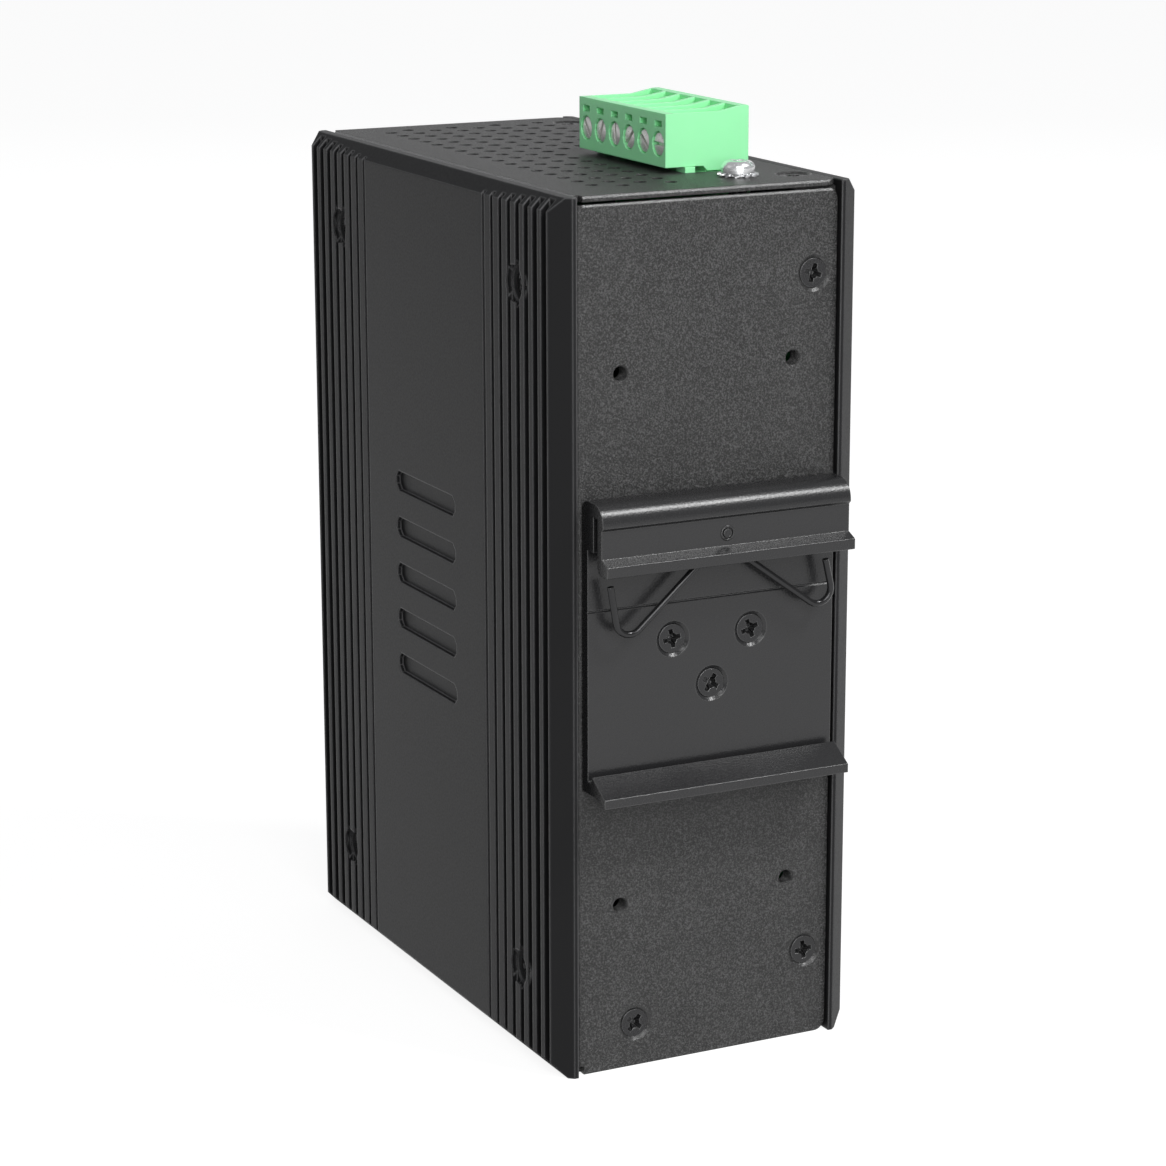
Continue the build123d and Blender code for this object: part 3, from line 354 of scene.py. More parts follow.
def moulded_plastic(name, colour, dull, shine, grain_mm=0.2, inner=0.0, edge_mm=0.15):
    """A plastic with a moulded grain. Light enters it where inner is above 0."""
    made, tree, output = new_material(name)
    place = object_place(tree)
    grain = noise(tree, place, grain_mm, 2.0)
    flow = noise(tree, place, flow_mm, 2.0)
    bumped = relief(tree, grain, plastic_relief, plastic_relief_mm)
    normal = soft_edges(tree, edge_mm, bumped)[0]
    rough = remapped(tree, grain, *noise_range, dull, shine)
    full = linear(colour)
    deep = tuple(flow_shade * channel for channel in full[:3]) + (1.0,)
    tint = blended(tree, flow, deep, full)
    inputs = {"Base Color": tint, "Roughness": rough, "Normal": normal, "IOR": 1.5}
    if inner:
        inputs["Subsurface Weight"] = inner
        inputs["Subsurface Radius"] = glow_reach
        inputs["Subsurface Scale"] = glow_reach_mm * MM
    surfaced(tree, output, inputs)
    return made


plastics = {
    "green_polyamide": moulded_plastic("green_polyamide", "#9bf2b2", 0.46, 0.38, inner=0.2),
    "black_plastic": moulded_plastic("black_plastic", "#262627", 0.50, 0.42),
    "relay_case": moulded_plastic("relay_case", "#2b2b2e", 0.34, 0.28),
    "chip_epoxy": moulded_plastic("chip_epoxy", "#2a2a2b", 0.62, 0.52),
    "ferrite": moulded_plastic("ferrite", "#3f3f41", 0.70, 0.58, grain_mm=0.1),
    "winding_tape": moulded_plastic("winding_tape", "#e3c64a", 0.30, 0.22, grain_mm=2.0),
    "capacitor_sleeve": moulded_plastic("capacitor_sleeve", "#22233a", 0.28, 0.20, grain_mm=1.5),
    "thermal_pad": moulded_plastic("thermal_pad", "#8f9cb3", 0.85, 0.75, grain_mm=0.3),
    "clear_plastic": moulded_plastic("clear_plastic", "#dfeadc", 0.16, 0.10, inner=0.5),
}
print("plastics:", ", ".join(plastics))

# %% [markdown]
# # Circuit board
# The boards are woven glass in epoxy under a green solder mask. Copper tracks under the mask show as
# slightly lighter, raised bands. A brick pattern whose rows are shifted gives bands that run and stop
# like tracks, and a fine wave stands for the weave.

# %% Material: circuit board
def circuit_board():
    made, tree, output = new_material("circuit_board")
    place = object_place(tree)
    track_mm, weave_mm, track_relief_mm, weave_relief_mm = 6.0, 0.5, 0.03, 0.01
    waves_per_scale = 6

    side = add_node(tree, "ShaderNodeMapping", {"Vector": place, "Rotation": (0.0, math.pi / 2, 0.0)})
    tracks = add_node(
        tree, "ShaderNodeTexBrick",
        {"Vector": side.outputs[0], "Scale": per_metre(track_mm), "Color1": linear("#1f6b3a"),
         "Color2": linear("#1b5c33"), "Mortar": linear("#124726"), "Mortar Size": 0.03},
        offset=0.37,
    )
    weave_scale = per_metre(weave_mm) / waves_per_scale
    weave = add_node(tree, "ShaderNodeTexWave", {"Vector": place, "Scale": weave_scale, "Distortion": 0.4})
    raised = add_node(
        tree, "ShaderNodeBump",
        {"Height": tracks.outputs["Fac"], "Strength": 0.4, "Distance": track_relief_mm * MM}, invert=True,
    )
    fine = relief(tree, weave.outputs["Fac"], 0.1, weave_relief_mm, Normal=raised.outputs["Normal"])
    surfaced(tree, output, {
        "Base Color": tracks.outputs["Color"], "Roughness": 0.32, "Normal": fine, "IOR": 1.55,
    })
    return made


board_finish = circuit_board()
print("made", board_finish.name)

# %% [markdown]
# # Dress the solids
# Every solid came in with a plain material in its slot. The record says which finish each solid has,
# so the new materials are matched to the solids by that name, and no solid is left plain.

# %% Assign the finishes
finishes = {
    "powder_coated_steel": powder_coat, "anodised_aluminium": anodised, "coated_aluminium": clip_coat,
    "circuit_board": board_finish, **metals, **plastics,
}
finish_of = {part["node"]: part["material_slot"] for part in frame["record"]["subparts"]}
for node_name, solid in frame["nodes"].items():
    for slot in solid.material_slots:
        slot.material = finishes[finish_of[node_name]]
print("dressed", len(finish_of), "solids in", len(set(finish_of.values())), "finishes")

# %% [markdown]
# # Building small turned pieces
# Screws are turned and their recesses are punched. In Blender a turned piece is a profile spun round
# an axis, and a punched recess is a Boolean difference. The Boolean is evaluated once on a master
# screw, and the result is copied to every place, so all screws of a kind are one piece.

# %% Helpers for meshes
touching = 0.001 * MM
sharp_angle = math.radians(35)


def new_object(name, data):
    """An object with this data, in the scene."""
    made = bpy.data.objects.new(name, data)
    bpy.context.collection.objects.link(made)
    return made


def meshed(shape, name):
    """The shape as a mesh."""
    mesh = bpy.data.meshes.new(name)
    shape.to_mesh(mesh)
    shape.free()
    return mesh


def spun(profile, segments=40):
    """A mesh from a profile of (radius, height) points in millimetres, spun round Z."""
    shape = bmesh.new()
    turns = [2 * math.pi * i / segments for i in range(segments)]
    rings = []
    for radius, height in profile:
        if radius == 0:
            rings.append([shape.verts.new((0, 0, height * MM))])
            continue
        circle = [(radius * MM * math.cos(turn), radius * MM * math.sin(turn)) for turn in turns]
        rings.append([shape.verts.new((x, y, height * MM)) for x, y in circle])
    for low, high in zip(rings, rings[1:]):
        for i in range(segments):
            j = (i + 1) % segments
            corners = [low[i % len(low)], low[j % len(low)], high[j % len(high)], high[i % len(high)]]
            shape.faces.new(list(dict.fromkeys(corners)))
    bmesh.ops.recalc_face_normals(shape, faces=shape.faces)
    return meshed(shape, "turned")


def tapered_bar(top_length, low_length, top_width, low_width, top, low, turn=0.0):
    """A punch wing in millimetres: a bar across Z that narrows towards its lower end."""
    shape = bmesh.new()
    corners = []
    for length, width, height in ((top_length, top_width, top), (low_length, low_width, low)):
        for x, y in ((-1, -1), (1, -1), (1, 1), (-1, 1)):
            corners.append(shape.verts.new((x * length / 2 * MM, y * width / 2 * MM, height * MM)))
    a, b = corners[:4], corners[4:]
    shape.faces.new(a)
    shape.faces.new(b[::-1])
    for i in range(4):
        j = (i + 1) % 4
        shape.faces.new((a[j], a[i], b[i], b[j]))
    bmesh.ops.recalc_face_normals(shape, faces=shape.faces)
    bmesh.ops.rotate(shape, verts=shape.verts, cent=(0, 0, 0), matrix=Matrix.Rotation(turn, 3, "Z"))
    return meshed(shape, "punch")


def prism(outline, axis, low, high):
    """A punch in millimetres: an outline of pairs, drawn across an axis and stretched along it."""
    shape = bmesh.new()
    ends = []
    for level in (low, high):
        ring = []
        for first, second in outline:
            place = [first, second]
            place.insert(axis, level)
            ring.append(shape.verts.new(Vector(place) * MM))
        ends.append(ring)
    shape.faces.new(ends[0])
    shape.faces.new(ends[1])
    for i in range(len(outline)):
        j = (i + 1) % len(outline)
        shape.faces.new((ends[0][i], ends[0][j], ends[1][j], ends[1][i]))
    bmesh.ops.recalc_face_normals(shape, faces=shape.faces)
    return meshed(shape, "punch")


def punched(mesh, punches):
    """The mesh after each punch has been taken out of it."""
    body = new_object("master", mesh)
    helpers = [body]
    for punch in punches:
        helpers.append(new_object("punch", punch))
        cut = body.modifiers.new("punch", "BOOLEAN")
        cut.operation = "DIFFERENCE"
        cut.solver = "EXACT"
        cut.object = helpers[-1]
    seen = body.evaluated_get(bpy.context.evaluated_depsgraph_get())
    result = bpy.data.meshes.new_from_object(seen)
    for helper in helpers:
        bpy.data.objects.remove(helper)
    return result


def joined_shape(mesh):
    """The shape of a mesh, with corners at the same place joined."""
    shape = bmesh.new()
    shape.from_mesh(mesh)
    bmesh.ops.remove_doubles(shape, verts=shape.verts, dist=touching)
    return shape


def plain_mesh(node_name):
    """A copy of a solid's mesh with its corners joined and without its stored normals."""
    mesh = meshed(joined_shape(frame["nodes"][node_name].data), "plain")
    for stored in [layer for layer in mesh.attributes if layer.name == "custom_normal"]:
        mesh.attributes.remove(stored)
    return mesh


def copied(mesh, frames, name):
    """One mesh made of a copy of a mesh in each frame."""
    shape = bmesh.new()
    for where in frames:
        first = len(shape.verts)
        shape.from_mesh(mesh)
        shape.verts.ensure_lookup_table()
        bmesh.ops.transform(shape, matrix=where, verts=shape.verts[first:])
    return meshed(shape, name)


def placed_copies(name, mesh, frames, finish, replaced):
    """One piece made of a copy of the mesh in each frame, in place of a solid."""
    joined = copied(mesh, frames, name)
    joined.materials.clear()
    joined.materials.append(finish)
    for face in joined.polygons:
        face.use_smooth = True
    joined.set_sharp_from_angle(angle=sharp_angle)
    piece = new_object(name, joined)
    even = piece.modifiers.new("flat_faces_stay_flat", "WEIGHTED_NORMAL")
    even.keep_sharp = True
    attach(piece, "root")
    if replaced:
        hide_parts(replaced)


def islands(corners, beside):
    """The places of corners that hang together, group by group. beside gives a corner's neighbours."""
    left = set(corners)
    groups = []
    while left:
        reach = [left.pop()]
        group = []
        while reach:
            corner = reach.pop()
            group.append(corner.co.copy())
            for other in beside(corner):
                if other in left:
                    left.remove(other)
                    reach.append(other)
        groups.append(group)
    return groups


def solid_centres(node_name):
    """The middle, lowest and highest corner of each separate solid in a node."""
    shape = joined_shape(frame["nodes"][node_name].data)
    found = []
    for group in islands(shape.verts, lambda corner: [e.other_vert(corner) for e in corner.link_edges]):
        low = Vector(min(c[i] for c in group) for i in range(3))
        high = Vector(max(c[i] for c in group) for i in range(3))
        found.append(((low + high) / 2, low, high))
    shape.free()
    return sorted(found, key=lambda item: tuple(round(v, 5) for v in item[0]))


def facing(place, outward, turn=0.0):
    """A frame at a place whose Z points outward, turned about it."""
    spin = Vector(outward).to_track_quat("Z", "Y").to_matrix().to_4x4()
    return Matrix.Translation(place) @ spin @ Matrix.Rotation(turn, 4, "Z")


print("side screws found:", len(solid_centres("side_screws")))

# %% [markdown]
# # Flat-head screws
# The M3 screws have a cross recess: two wings, wide at the top and narrow below, with a pointed
# middle. The head's rim has a tiny land, and a blackened skin covers the steel. Each screw was driven
# until it was tight, so each one has stopped at its own angle.

# %% Cross-recessed screws
head_radius, rim_height, rim_bevel, sunk = 2.36, 0.1, 0.08, 0.3
shank_radius, cone_end, tip_bevel = 1.45, 1.05, 0.3
cross_wing = {
    "top_length": 3.5, "low_length": 1.5, "top_width": 0.86, "low_width": 0.56, "top": 0.0, "low": -1.6,
}
cross_middle = [(0, 0.0), (1.1, 0.0), (0.9, -0.45), (0.45, -1.4), (0, -1.8)]
quarter_turns = (0.0, math.pi / 2)


def flat_head(length):
    """A flat-head screw that sits a little below z = 0, with a cross recess."""
    profile = [
        (0, -sunk), (head_radius - rim_bevel, -sunk), (head_radius, -sunk - rim_bevel),
        (head_radius, -sunk - rim_height), (shank_radius, -cone_end),
        (shank_radius, -length + tip_bevel), (shank_radius - tip_bevel, -length), (0, -length),
    ]
    wings = [tapered_bar(**cross_wing, turn=turn) for turn in quarter_turns]
    return punched(spun(profile), wings + [spun(cross_middle, 24)])


head_frames = {}
screw_sets = {
    "clip_screws": ((0, 1, 0), (0.35, -0.55, 0.2)),
    "rear_screws": ((0, 1, 0), (0.1, -0.3, 0.9)),
    "top_screws": ((0, 0, 1), (0.7, 0.25)),
    "bottom_screws": ((0, 0, -1), (0.4, -0.8)),
}
for set_name, (outward, turns) in screw_sets.items():
    axis = max(range(3), key=lambda i: abs(outward[i]))
    frames = []
    for (middle, low, high), turn in zip(solid_centres(set_name), turns):
        top = middle.copy()
        top[axis] = high[axis] if outward[axis] > 0 else low[axis]
        frames.append(facing(top, outward, turn))
        length = (high[axis] - low[axis]) / MM
    head_frames[set_name] = frames
    placed_copies(
        "cross_" + set_name, flat_head(length), frames, metals["blackened_steel"],
        set_name,
    )
side_frames, first_turn, turn_step = [], 0.2, 0.55
for i, (middle, low, high) in enumerate(solid_centres("side_screws")):
    right = middle.x > 0
    top = Vector((high.x if right else low.x, middle.y, middle.z))
    side_frames.append(facing(top, (1 if right else -1, 0, 0), turn_step * i + first_turn))
    side_length = (high.x - low.x) / MM
placed_copies(
    "cross_side_screws", flat_head(side_length), side_frames, metals["blackened_steel"],
    "side_screws",
)
print("screws:", sum(len(solid_centres(s)) for s in screw_sets) + len(side_frames))

# %% [markdown]
# # Ground screw and lock washer
# A pan-head screw clamps the ground wire. Its head is turned, domed and nickel plated, with a cross
# recess and a slot, so that either driver fits. Under it sits a washer whose outside teeth are
# twisted, so that they bite into the paint and touch bare steel.

# %% Ground screw
ground_low, ground_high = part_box("ground_screw")
washer_low, washer_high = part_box("lock_washer")
ground_place = (Vector(washer_low) + Vector(washer_high)) / 2
seat = washer_high[2] / MM
tip = ground_low[2] / MM - seat
dome_top = ground_high[2] / MM - seat
dome_radius = (ground_high[0] - ground_low[0]) / 2 / MM
flat_share, wall_share, under_bevel, dome_steps, ground_turn = 0.58, 0.45, 0.06, 8, 0.5
dome = [(0, dome_top)]
for step in range(1, dome_steps + 1):
    angle = math.pi / 2 * (1 - step / dome_steps)
    out = flat_share + (1 - flat_share) * math.cos(angle)
    up = wall_share + (1 - wall_share) * math.sin(angle)
    dome.append((dome_radius * out, dome_top * up))
dome += [(dome_radius, under_bevel), (dome_radius - under_bevel, 0), (shank_radius, 0)]
dome += [(shank_radius, tip + tip_bevel), (shank_radius - tip_bevel, tip), (0, tip)]
ground_cross = {
    "top_length": 3.2, "low_length": 1.3, "top_width": 0.95, "low_width": 0.55, "top": dome_top + 0.4,
    "low": dome_top - 1.3,
}
ground_slot = {
    "top_length": dome_radius * 2.2, "low_length": dome_radius * 2.2, "top_width": 0.75, "low_width": 0.7,
    "top": dome_top + 0.4, "low": dome_top - 0.75,
}
punches = [tapered_bar(**ground_cross, turn=turn) for turn in quarter_turns]
punches.append(tapered_bar(**ground_slot, turn=math.pi / 2))
placed_copies(
    "slotted_ground_screw", punched(spun(dome), punches),
    [facing((ground_place.x, ground_place.y, seat * MM), (0, 0, 1), ground_turn)],
    metals["nickel_plated_steel"], "ground_screw",
)
print("ground screw head:", round(2 * dome_radius, 2), "mm across,", round(dome_top, 2), "mm high")

# %% Toothed washer
washer_radius = (washer_high[0] - washer_low[0]) / 2 / MM
washer_thick = (washer_high[2] - washer_low[2]) / MM
tooth_count, ring_radius, hole_radius, ring_gap = 12, washer_radius - 1.0, 1.6, 0.1
tooth_size, tooth_inset, tooth_twist = (1.25, 0.85, 0.3), 0.66, math.radians(22)


def toothed_washer():
    """A ring with outside teeth, each twisted about its own length."""
    low, high = ring_gap, washer_thick - ring_gap
    section = [(hole_radius, low), (ring_radius, low), (ring_radius, high), (hole_radius, high)]
    shape = joined_shape(spun(section + section[:1], 48))
    size = Matrix.Diagonal((*(side * MM for side in tooth_size), 1))
    twist = Matrix.Rotation(tooth_twist, 4, "X")
    out = Matrix.Translation(((washer_radius - tooth_inset) * MM, 0, washer_thick / 2 * MM))
    for i in range(tooth_count):
        tooth = bmesh.ops.create_cube(shape, size=1.0)["verts"]
        around = Matrix.Rotation(2 * math.pi * i / tooth_count, 4, "Z")
        bmesh.ops.transform(shape, matrix=around @ out @ twist @ size, verts=tooth)
    return meshed(shape, "washer")


placed_copies(
    "twisted_lock_washer", toothed_washer(),
    [Matrix.Translation((ground_place.x, ground_place.y, washer_low[2]))],
    metals["nickel_plated_steel"], "lock_washer",
)
print("washer teeth:", tooth_count)

# %% [markdown]
# # Terminal screws
# Each pole of the terminal has a slotted clamp screw in its recess. The head is a plain drum with a
# broken edge and one sawn slot. Every one has been turned by hand to its own angle. They are set a
# little further out than the solids, so that they catch light in their recesses.

# %% Slotted clamp screws
clamp_turns = [-52, 65, -87, 43, -39, 0]
clamps = solid_centres("terminal_screws")
clamp_radius = max(high.z - low.z for middle, low, high in clamps) / 2 / MM
clamp_length = (clamps[0][2].x - clamps[0][1].x) / MM
clamp_bevel, clamp_belly, clamp_lift = 0.25, 0.07, 0.4
clamp_profile = [
    (0, 0), (clamp_radius - clamp_bevel, 0), (clamp_radius - clamp_belly, -clamp_belly),
    (clamp_radius, -clamp_bevel), (clamp_radius, -clamp_length), (0, -clamp_length),
]
clamp_slot = {
    "top_length": 2.4 * clamp_radius, "low_length": 2.4 * clamp_radius, "top_width": 0.62,
    "low_width": 0.58, "top": 0.4, "low": -0.9,
}
clamp_mesh = punched(spun(clamp_profile), [tapered_bar(**clamp_slot)])
lying = Matrix(((0, 0, 1), (1, 0, 0), (0, 1, 0))).to_4x4()
clamp_frames = [
    Matrix.Translation((high.x + clamp_lift * MM, middle.y, middle.z)) @ lying
    @ Matrix.Rotation(math.radians(turn), 4, "Z")
    for (middle, low, high), turn in zip(clamps, clamp_turns)
]
placed_copies(
    "slotted_terminal_screws", clamp_mesh, clamp_frames, metals["clamp_steel"],
    "terminal_screws",
)
print("clamp screws:", len(clamp_frames), "of", round(2 * clamp_radius, 1), "mm")

# %% [markdown]
# # Round vents and screw seats
# The box's top is perforated, and the screws sit in drilled cones. In the solids these holes have
# flat sides, which is light to compute with. Up close the real ones are round. So we take copies of
# the meshes of the tray, the clip and the heat sinks, find each six-sided vent in the tray's top, and
# punch the vents and the screw seats again with round punches that just cover them. A real seat
# slopes at 45 degrees. These slope at 38 degrees, because that angle mirrors the main lamp towards
# the camera.

# %% Punches
vent_side, vent_radius, vent_corners, pin_top, pin_low = 1.039, 1.06, 6, 1.0, -1.5
seat_radius, seat_deep, seat_spread, over_panel, bore_height = 2.95, 1.0, 1.3, 0.4, 2.5
flat_gap, side_gap = 0.01 * MM, 0.02


def vent_centres(mesh):
    """The middle of every small six-sided hole in the top face of a mesh."""
    shape = joined_shape(mesh)
    top = max(corner.co.z for corner in shape.verts)
    beside = {}
    for side in shape.edges:
        one, other = side.verts
        at_top = all(abs(corner.co.z - top) < flat_gap for corner in side.verts)
        if at_top and abs(side.calc_length() / MM - vent_side) < side_gap:
            beside.setdefault(one, set()).add(other)
            beside.setdefault(other, set()).add(one)
    loops = islands(beside, beside.get)
    found = [sum(loop, Vector()) / vent_corners for loop in loops if len(loop) == vent_corners]
    shape.free()
    return found


tray_mesh = plain_mesh("chassis_tray")
vents = vent_centres(tray_mesh)
vent_pin = spun([(0, pin_top), (vent_radius, pin_top), (vent_radius, pin_low), (0, pin_low)], 28)
seat_end = [(seat_radius - seat_spread * seat_deep, -seat_deep), (0, -seat_deep)]
cone_rim = seat_radius + seat_spread * over_panel
seat_cone = spun([(0, over_panel), (cone_rim, over_panel)] + seat_end, 48)
seat_bore = spun([(0, bore_height), (seat_radius, bore_height), (seat_radius, 0)] + seat_end, 48)
seat_frames = head_frames["rear_screws"] + head_frames["top_screws"] + head_frames["bottom_screws"]
print("vents found:", len(vents), "seats:", len(seat_frames))

# %% [markdown]
# # Seam under the top panel
# Where the top panel lies on the rear panel, the solids have a thin seam and sharp corners. We widen
# the seam to 0.35 mm and chamfer the rear panel's top edge and the top panel's rear edge, so that
# they read in a picture: a coated chamfer shines, and the real corners aren't sharp either. These
# punches work on the tray together with the vents and the seats.

# %% Punched tray, clip and heat sinks
tray_low, tray_high = (Vector(c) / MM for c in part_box("chassis_tray"))
sheet, bend, edge_fall, edge_back, seam, hair, past = 1.0, 1.4, 0.42, 0.32, 0.35, 0.05, 1
rear_y, top_z = tray_high.y, tray_high.z
seam_z = top_z - sheet - seam
panel_ends = (tray_low.x - past, tray_high.x - bend)


def edge_punch(y, z):
    """A punch that takes the sharp corner off a rear edge at this place, along X."""
    outline = [
        (y + edge_back, z - 2 * edge_fall), (y + past, z - 2 * edge_fall), (y + past, z + edge_fall),
        (y - 2 * edge_back, z + edge_fall),
    ]
    return prism(outline, 0, *panel_ends)


def seam_punch():
    """A bar that widens the seam downwards."""
    inside, outside, upper = rear_y - sheet - hair, rear_y + past, top_z - sheet - 2 * hair
    return prism([(inside, seam_z), (outside, seam_z), (outside, upper), (inside, upper)], 0, *panel_ends)


tray_punches = [
    seam_punch(), edge_punch(rear_y, seam_z), edge_punch(rear_y, top_z),
    copied(vent_pin, [Matrix.Translation(vent) for vent in vents], "punch"),
    copied(seat_cone, seat_frames, "punch"),
]
placed_copies(
    "punched_tray", punched(tray_mesh, tray_punches), [Matrix.Identity(4)], powder_coat,
    "chassis_tray",
)
placed_copies(
    "drilled_clip",
    punched(plain_mesh("rail_clip"), [copied(seat_cone, head_frames["clip_screws"], "punch")]),
    [Matrix.Identity(4)], clip_coat, "rail_clip",
)
for sink_name in ("heat_sink_left", "heat_sink_right"):
    right = sink_name.endswith("right")
    bores = [where for where in side_frames if (where.translation.x > 0) == right]
    placed_copies(
        "bored_" + sink_name, punched(plain_mesh(sink_name), [copied(seat_bore, bores, "punch")]),
        [Matrix.Identity(4)], anodised, sink_name,
    )
panel_seats = len(seat_frames) + len(head_frames["clip_screws"])
print("punched", len(vents), "vents,", panel_seats, "panel seats and", len(side_frames), "sink seats")

# %% [markdown]
# # Threads
# The four mounting holes are tapped. A thread this fine is only seen as a few bright turns down the
# hole, so each hole gets a sleeve of sharp rings, half a millimetre apart as an M3 thread is.

# %% Threaded sleeves
thread_pitch, thread_turns, crest, root, skin, thread_start = 0.5, 6, 1.14, 1.345, 0.01, -0.06
thread = [(root + skin, thread_start)]
for turn in range(thread_turns):
    deep = thread_start - turn * thread_pitch
    thread += [(crest, deep - thread_pitch / 2), (root, deep - thread_pitch)]
thread += [(root + skin, thread[-1][1]), (root + skin, thread_start)]
mount_x, mount_middle, mount_reach = 15.25, 71.0, 43.2
hole_places = [
    (x, z) for x in (-mount_x, mount_x) for z in (mount_middle - mount_reach, mount_middle + mount_reach)
]
panel_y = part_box("rail_clip")[0][1] / MM
placed_copies(
    "threaded_sleeves", spun(thread, 32),
    [facing(Vector((x, panel_y, z)) * MM, (0, 1, 0)) for x, z in hole_places],
    powder_coat, None,
)
print("threads", thread_pitch, "mm apart in", len(hole_places), "holes")

# %% [markdown]
# # Wire spring
# The spring is one round steel wire bent round the rivet, with an arm to each side and an upturned
# tip. In Blender a wire is a curve with a bevel. The bends are made by cutting each corner of the
# route into a short arc, as a bending pin does. The wire has play on the rivet, so it hangs with a
# slight lean.

# %% Bent wire
spring_low, spring_high = (Vector(c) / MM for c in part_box("clip_spring"))
wire_radius = (spring_high.y - spring_low.y) / 2
wire_y = (spring_low.y + spring_high.y) / 2
rivet_low, rivet_high = (Vector(c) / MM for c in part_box("clip_rivet"))
rivet_z = (rivet_low.z + rivet_high.z) / 2


def bent(corners, radii, steps=8):
    """Points along a route whose inner corners are rounded with a radius each."""
    points = [corners[0]]
    for before, corner, after, radius in zip(corners, corners[1:], corners[2:], radii):
        into, out = (before - corner).normalized(), (after - corner).normalized()
        half_angle = into.angle(out) / 2
        reach = radius / math.tan(half_angle)
        middle = corner + (into + out).normalized() * radius / math.sin(half_angle)
        start, end = corner + into * reach - middle, corner + out * reach - middle
        for i in range(steps + 1):
            points.append(middle + radius * start.slerp(end, i / steps).normalized())
    return points + [corners[-1]]


rivet_neck, play, lean_angle = 1.0, 0.12, math.radians(1.7)
foot_bend, tip_bend, eye_bend = 1.1, 2.4, 0.98
leg = rivet_neck + play + wire_radius
corners = [
    (19.6, -6.4), (18.2, -16.7), (leg, -2.9), (leg, leg), (-leg, leg), (-leg, -2.9), (-21.0, -17.9),
    (-18.8, -7.3),
]
route = [Vector((x, wire_y, rivet_z + z)) for x, z in corners]
wire_points = bent(route, [tip_bend, foot_bend, leg * eye_bend, leg * eye_bend, foot_bend, tip_bend])
axle = Vector((0, wire_y, rivet_z))
lean = Matrix.Rotation(lean_angle, 3, "Y")
wire_points = [axle + lean @ (point - axle) for point in wire_points]
wire = bpy.data.curves.new("round_wire_spring", "CURVE")
wire.dimensions = "3D"
wire.bevel_depth = wire_radius * MM
wire.bevel_resolution = 5
wire.use_fill_caps = True
run = wire.splines.new("POLY")
run.points.add(len(wire_points) - 1)
for point, place in zip(run.points, wire_points):
    point.co = (*(place * MM), 1)
wire.materials.append(metals["spring_steel"])
spring = new_object("round_wire_spring", wire)
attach(spring, "root")
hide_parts("clip_spring")
print("wire", round(2 * wire_radius, 2), "mm thick, points", len(wire_points))

# %% [markdown]
# # Rivet and lamps
# The rivet's head was spun flat against the hook, which leaves a shallow cup in its face. The four
# status lamps at the front are moulded in clear plastic with domed ends. Both are turned shapes.

# %% Spun rivet and domed lamps
rivet_radius = (rivet_high.x - rivet_low.x) / 2
rivet_face = rivet_high.y
rivet_foot = rivet_low.y - rivet_face
cup, ring = [(0, -0.12), (0.64, -0.12)], [(0.74, -0.42), (0.88, -0.42), (0.96, -0.03), (1.04, 0.0)]
flat = [(rivet_radius - 0.14, 0.0), (rivet_radius, -0.12), (rivet_radius, -0.15)]
neck = [(rivet_neck, -0.15), (rivet_neck, rivet_foot), (0, rivet_foot)]
rivet_profile = cup + ring + flat + neck
placed_copies(
    "spun_rivet", spun(rivet_profile, 36), [facing(Vector((0, rivet_face, rivet_z)) * MM, (0, 1, 0))],
    metals["blackened_steel"], "clip_rivet",
)
lamps = solid_centres("status_lamps")
lamp_radius = (lamps[0][2].x - lamps[0][1].x) / 2 / MM
lamp_length = (lamps[0][2].y - lamps[0][1].y) / MM
lamp_steps, dome_share = 8, 0.45
lamp_angles = [math.pi / 2 * i / lamp_steps for i in range(lamp_steps + 1)]
lamp_profile = [
    (lamp_radius * math.sin(angle), lamp_radius * dome_share * (math.cos(angle) - 1))
    for angle in lamp_angles
]
lamp_profile += [(lamp_radius, -lamp_length), (0, -lamp_length)]
placed_copies(
    "domed_lamps", spun(lamp_profile, 32),
    [facing((middle.x, low.y, middle.z), (0, -1, 0)) for middle, low, high in lamps],
    plastics["clear_plastic"], "status_lamps",
)
print("lamps:", len(lamps), "rivet head", round(2 * rivet_radius, 1), "mm")

# %% [markdown]
# # Camera
# The picture this follows was taken from behind and to the left, a little above the top. The angles,
# the distance and the lens below give the same perspective. A small lens shift keeps the upright
# edges where the picture has them.

# %% Camera
def direction(azimuth, elevation):
    """A step of length 1 from the switch. Azimuth 0 is its front, 90 degrees its +X side."""
    flat = math.cos(elevation)
    return Vector((math.sin(azimuth) * flat, -math.cos(azimuth) * flat, math.sin(elevation)))


def turned_back(away):
    """The turn of something that looks against this direction."""
    return away.to_track_quat("Z", "Y").to_matrix().to_4x4()


azimuth, elevation, roll = math.radians(153.43), math.radians(14.61), math.radians(-0.10)
distance = 573.8 * MM
target = Vector((3.78, 9.83, 66.94)) * MM
back = direction(azimuth, elevation)
eye = bpy.data.cameras.new("camera")
eye.lens = 105.74
eye.sensor_width = 36.0
eye.shift_x = -0.00316
eye.shift_y = 0.02497
eye.clip_start = 0.01
camera = new_object("camera", eye)
camera.matrix_world = Matrix.Translation(target + back * distance) @ (
    turned_back(back) @ Matrix.Rotation(roll, 4, "Z")
)
bpy.context.scene.camera = camera
print("camera at", [round(v / MM) for v in camera.matrix_world.translation], "mm")

# %% [markdown]
# # Floor and light
# A black product on white needs faces that separate by gentle steps of grey, and bright lines on its
# edges. A small, strong box high above the rear makes those lines. Larger and weaker boxes light the
# rear panel and the sides. The floor is white paper: it adds its own white for the camera, for
# reflections and behind clear plastic, and keeps the soft shadow that the lamps throw.

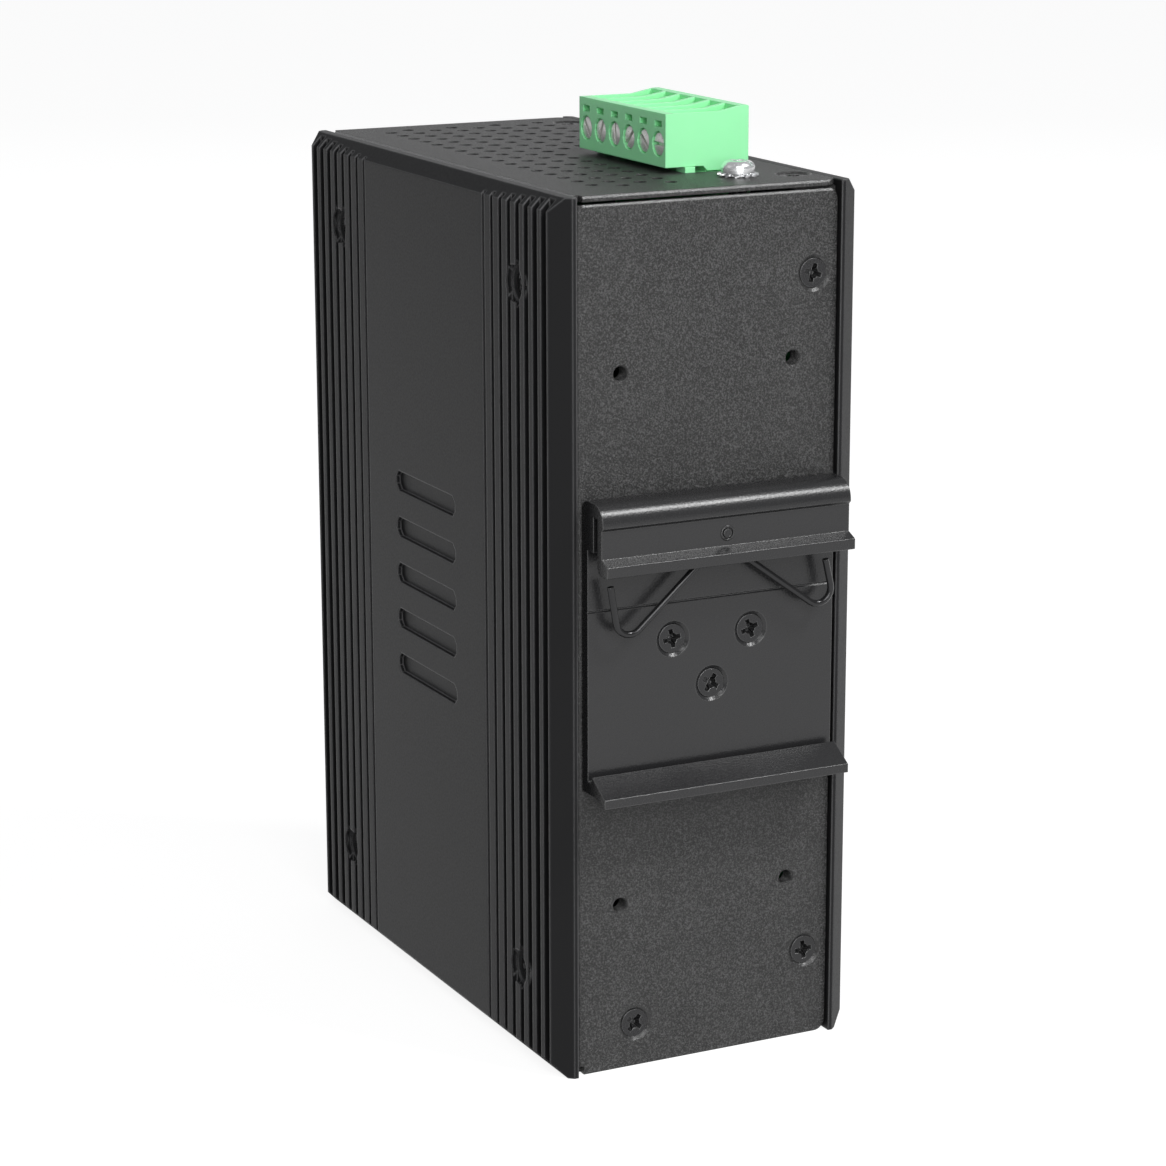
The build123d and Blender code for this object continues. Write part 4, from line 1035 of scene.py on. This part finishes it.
# %% Floor
def paper_floor():
    made, tree, output = new_material("white_paper")
    path = add_node(tree, "ShaderNodeLightPath").outputs
    camera_or_glossy = larger(tree, path["Is Camera Ray"], path["Is Glossy Ray"])
    seen = larger(tree, camera_or_glossy, path["Is Transmission Ray"])
    paper = add_node(tree, "ShaderNodeBsdfDiffuse", {"Color": linear("#8c8c8c")}).outputs[0]
    glow = add_node(tree, "ShaderNodeEmission", {"Color": (1, 1, 1, 1), "Strength": 0.87}).outputs[0]
    lit = add_node(tree, "ShaderNodeAddShader", {0: paper, 1: glow}).outputs[0]
    mix = add_node(tree, "ShaderNodeMixShader", {0: seen, 1: paper, 2: lit})
    tree.links.new(mix.outputs[0], output.inputs[0])
    return made


floor_half, floor_gap = 6.0, 0.02 * MM
floor_corners = [(x * floor_half, y * floor_half, 0) for x, y in ((-1, -1), (1, -1), (1, 1), (-1, 1))]
floor_mesh = bpy.data.meshes.new("floor")
floor_mesh.from_pydata(floor_corners, [], [(0, 1, 2, 3)])
floor_mesh.materials.append(paper_floor())
floor = new_object("floor", floor_mesh)
floor.location.z = cad_low[2] - floor_gap
print("floor", 2 * floor_half, "m wide")

# %% Lamps and sky
def soft_box(name, azimuth_deg, elevation_deg, far, width, height, watts):
    """A rectangular lamp that looks at the middle of the switch."""
    lamp = bpy.data.lights.new(name, "AREA")
    lamp.shape = "RECTANGLE"
    lamp.size = width
    lamp.size_y = height
    lamp.energy = watts
    away = direction(math.radians(azimuth_deg), math.radians(elevation_deg))
    centre = Vector((0, 0, (cad_low[2] + cad_high[2]) / 2))
    new_object(name, lamp).matrix_world = Matrix.Translation(centre + away * far) @ turned_back(away)


soft_box("key_box", 220, 50, far=1.0, width=0.25, height=0.25, watts=5.8)
soft_box("rear_box", 168, 22, far=0.7, width=0.45, height=0.45, watts=3.0)
soft_box("side_box", 85, 30, far=1.4, width=0.8, height=0.8, watts=0.5)
soft_box("far_box", 333, 22, far=1.2, width=0.9, height=0.5, watts=0.8)
world = bpy.data.worlds.new("studio")
world.use_nodes = True
sky = next(n for n in world.node_tree.nodes if n.type == "BACKGROUND")
sky.inputs["Color"].default_value = linear("#f4f5f7")
sky.inputs["Strength"].default_value = 0.35
bpy.context.scene.world = world
bpy.context.scene.view_settings.view_transform = "Standard"
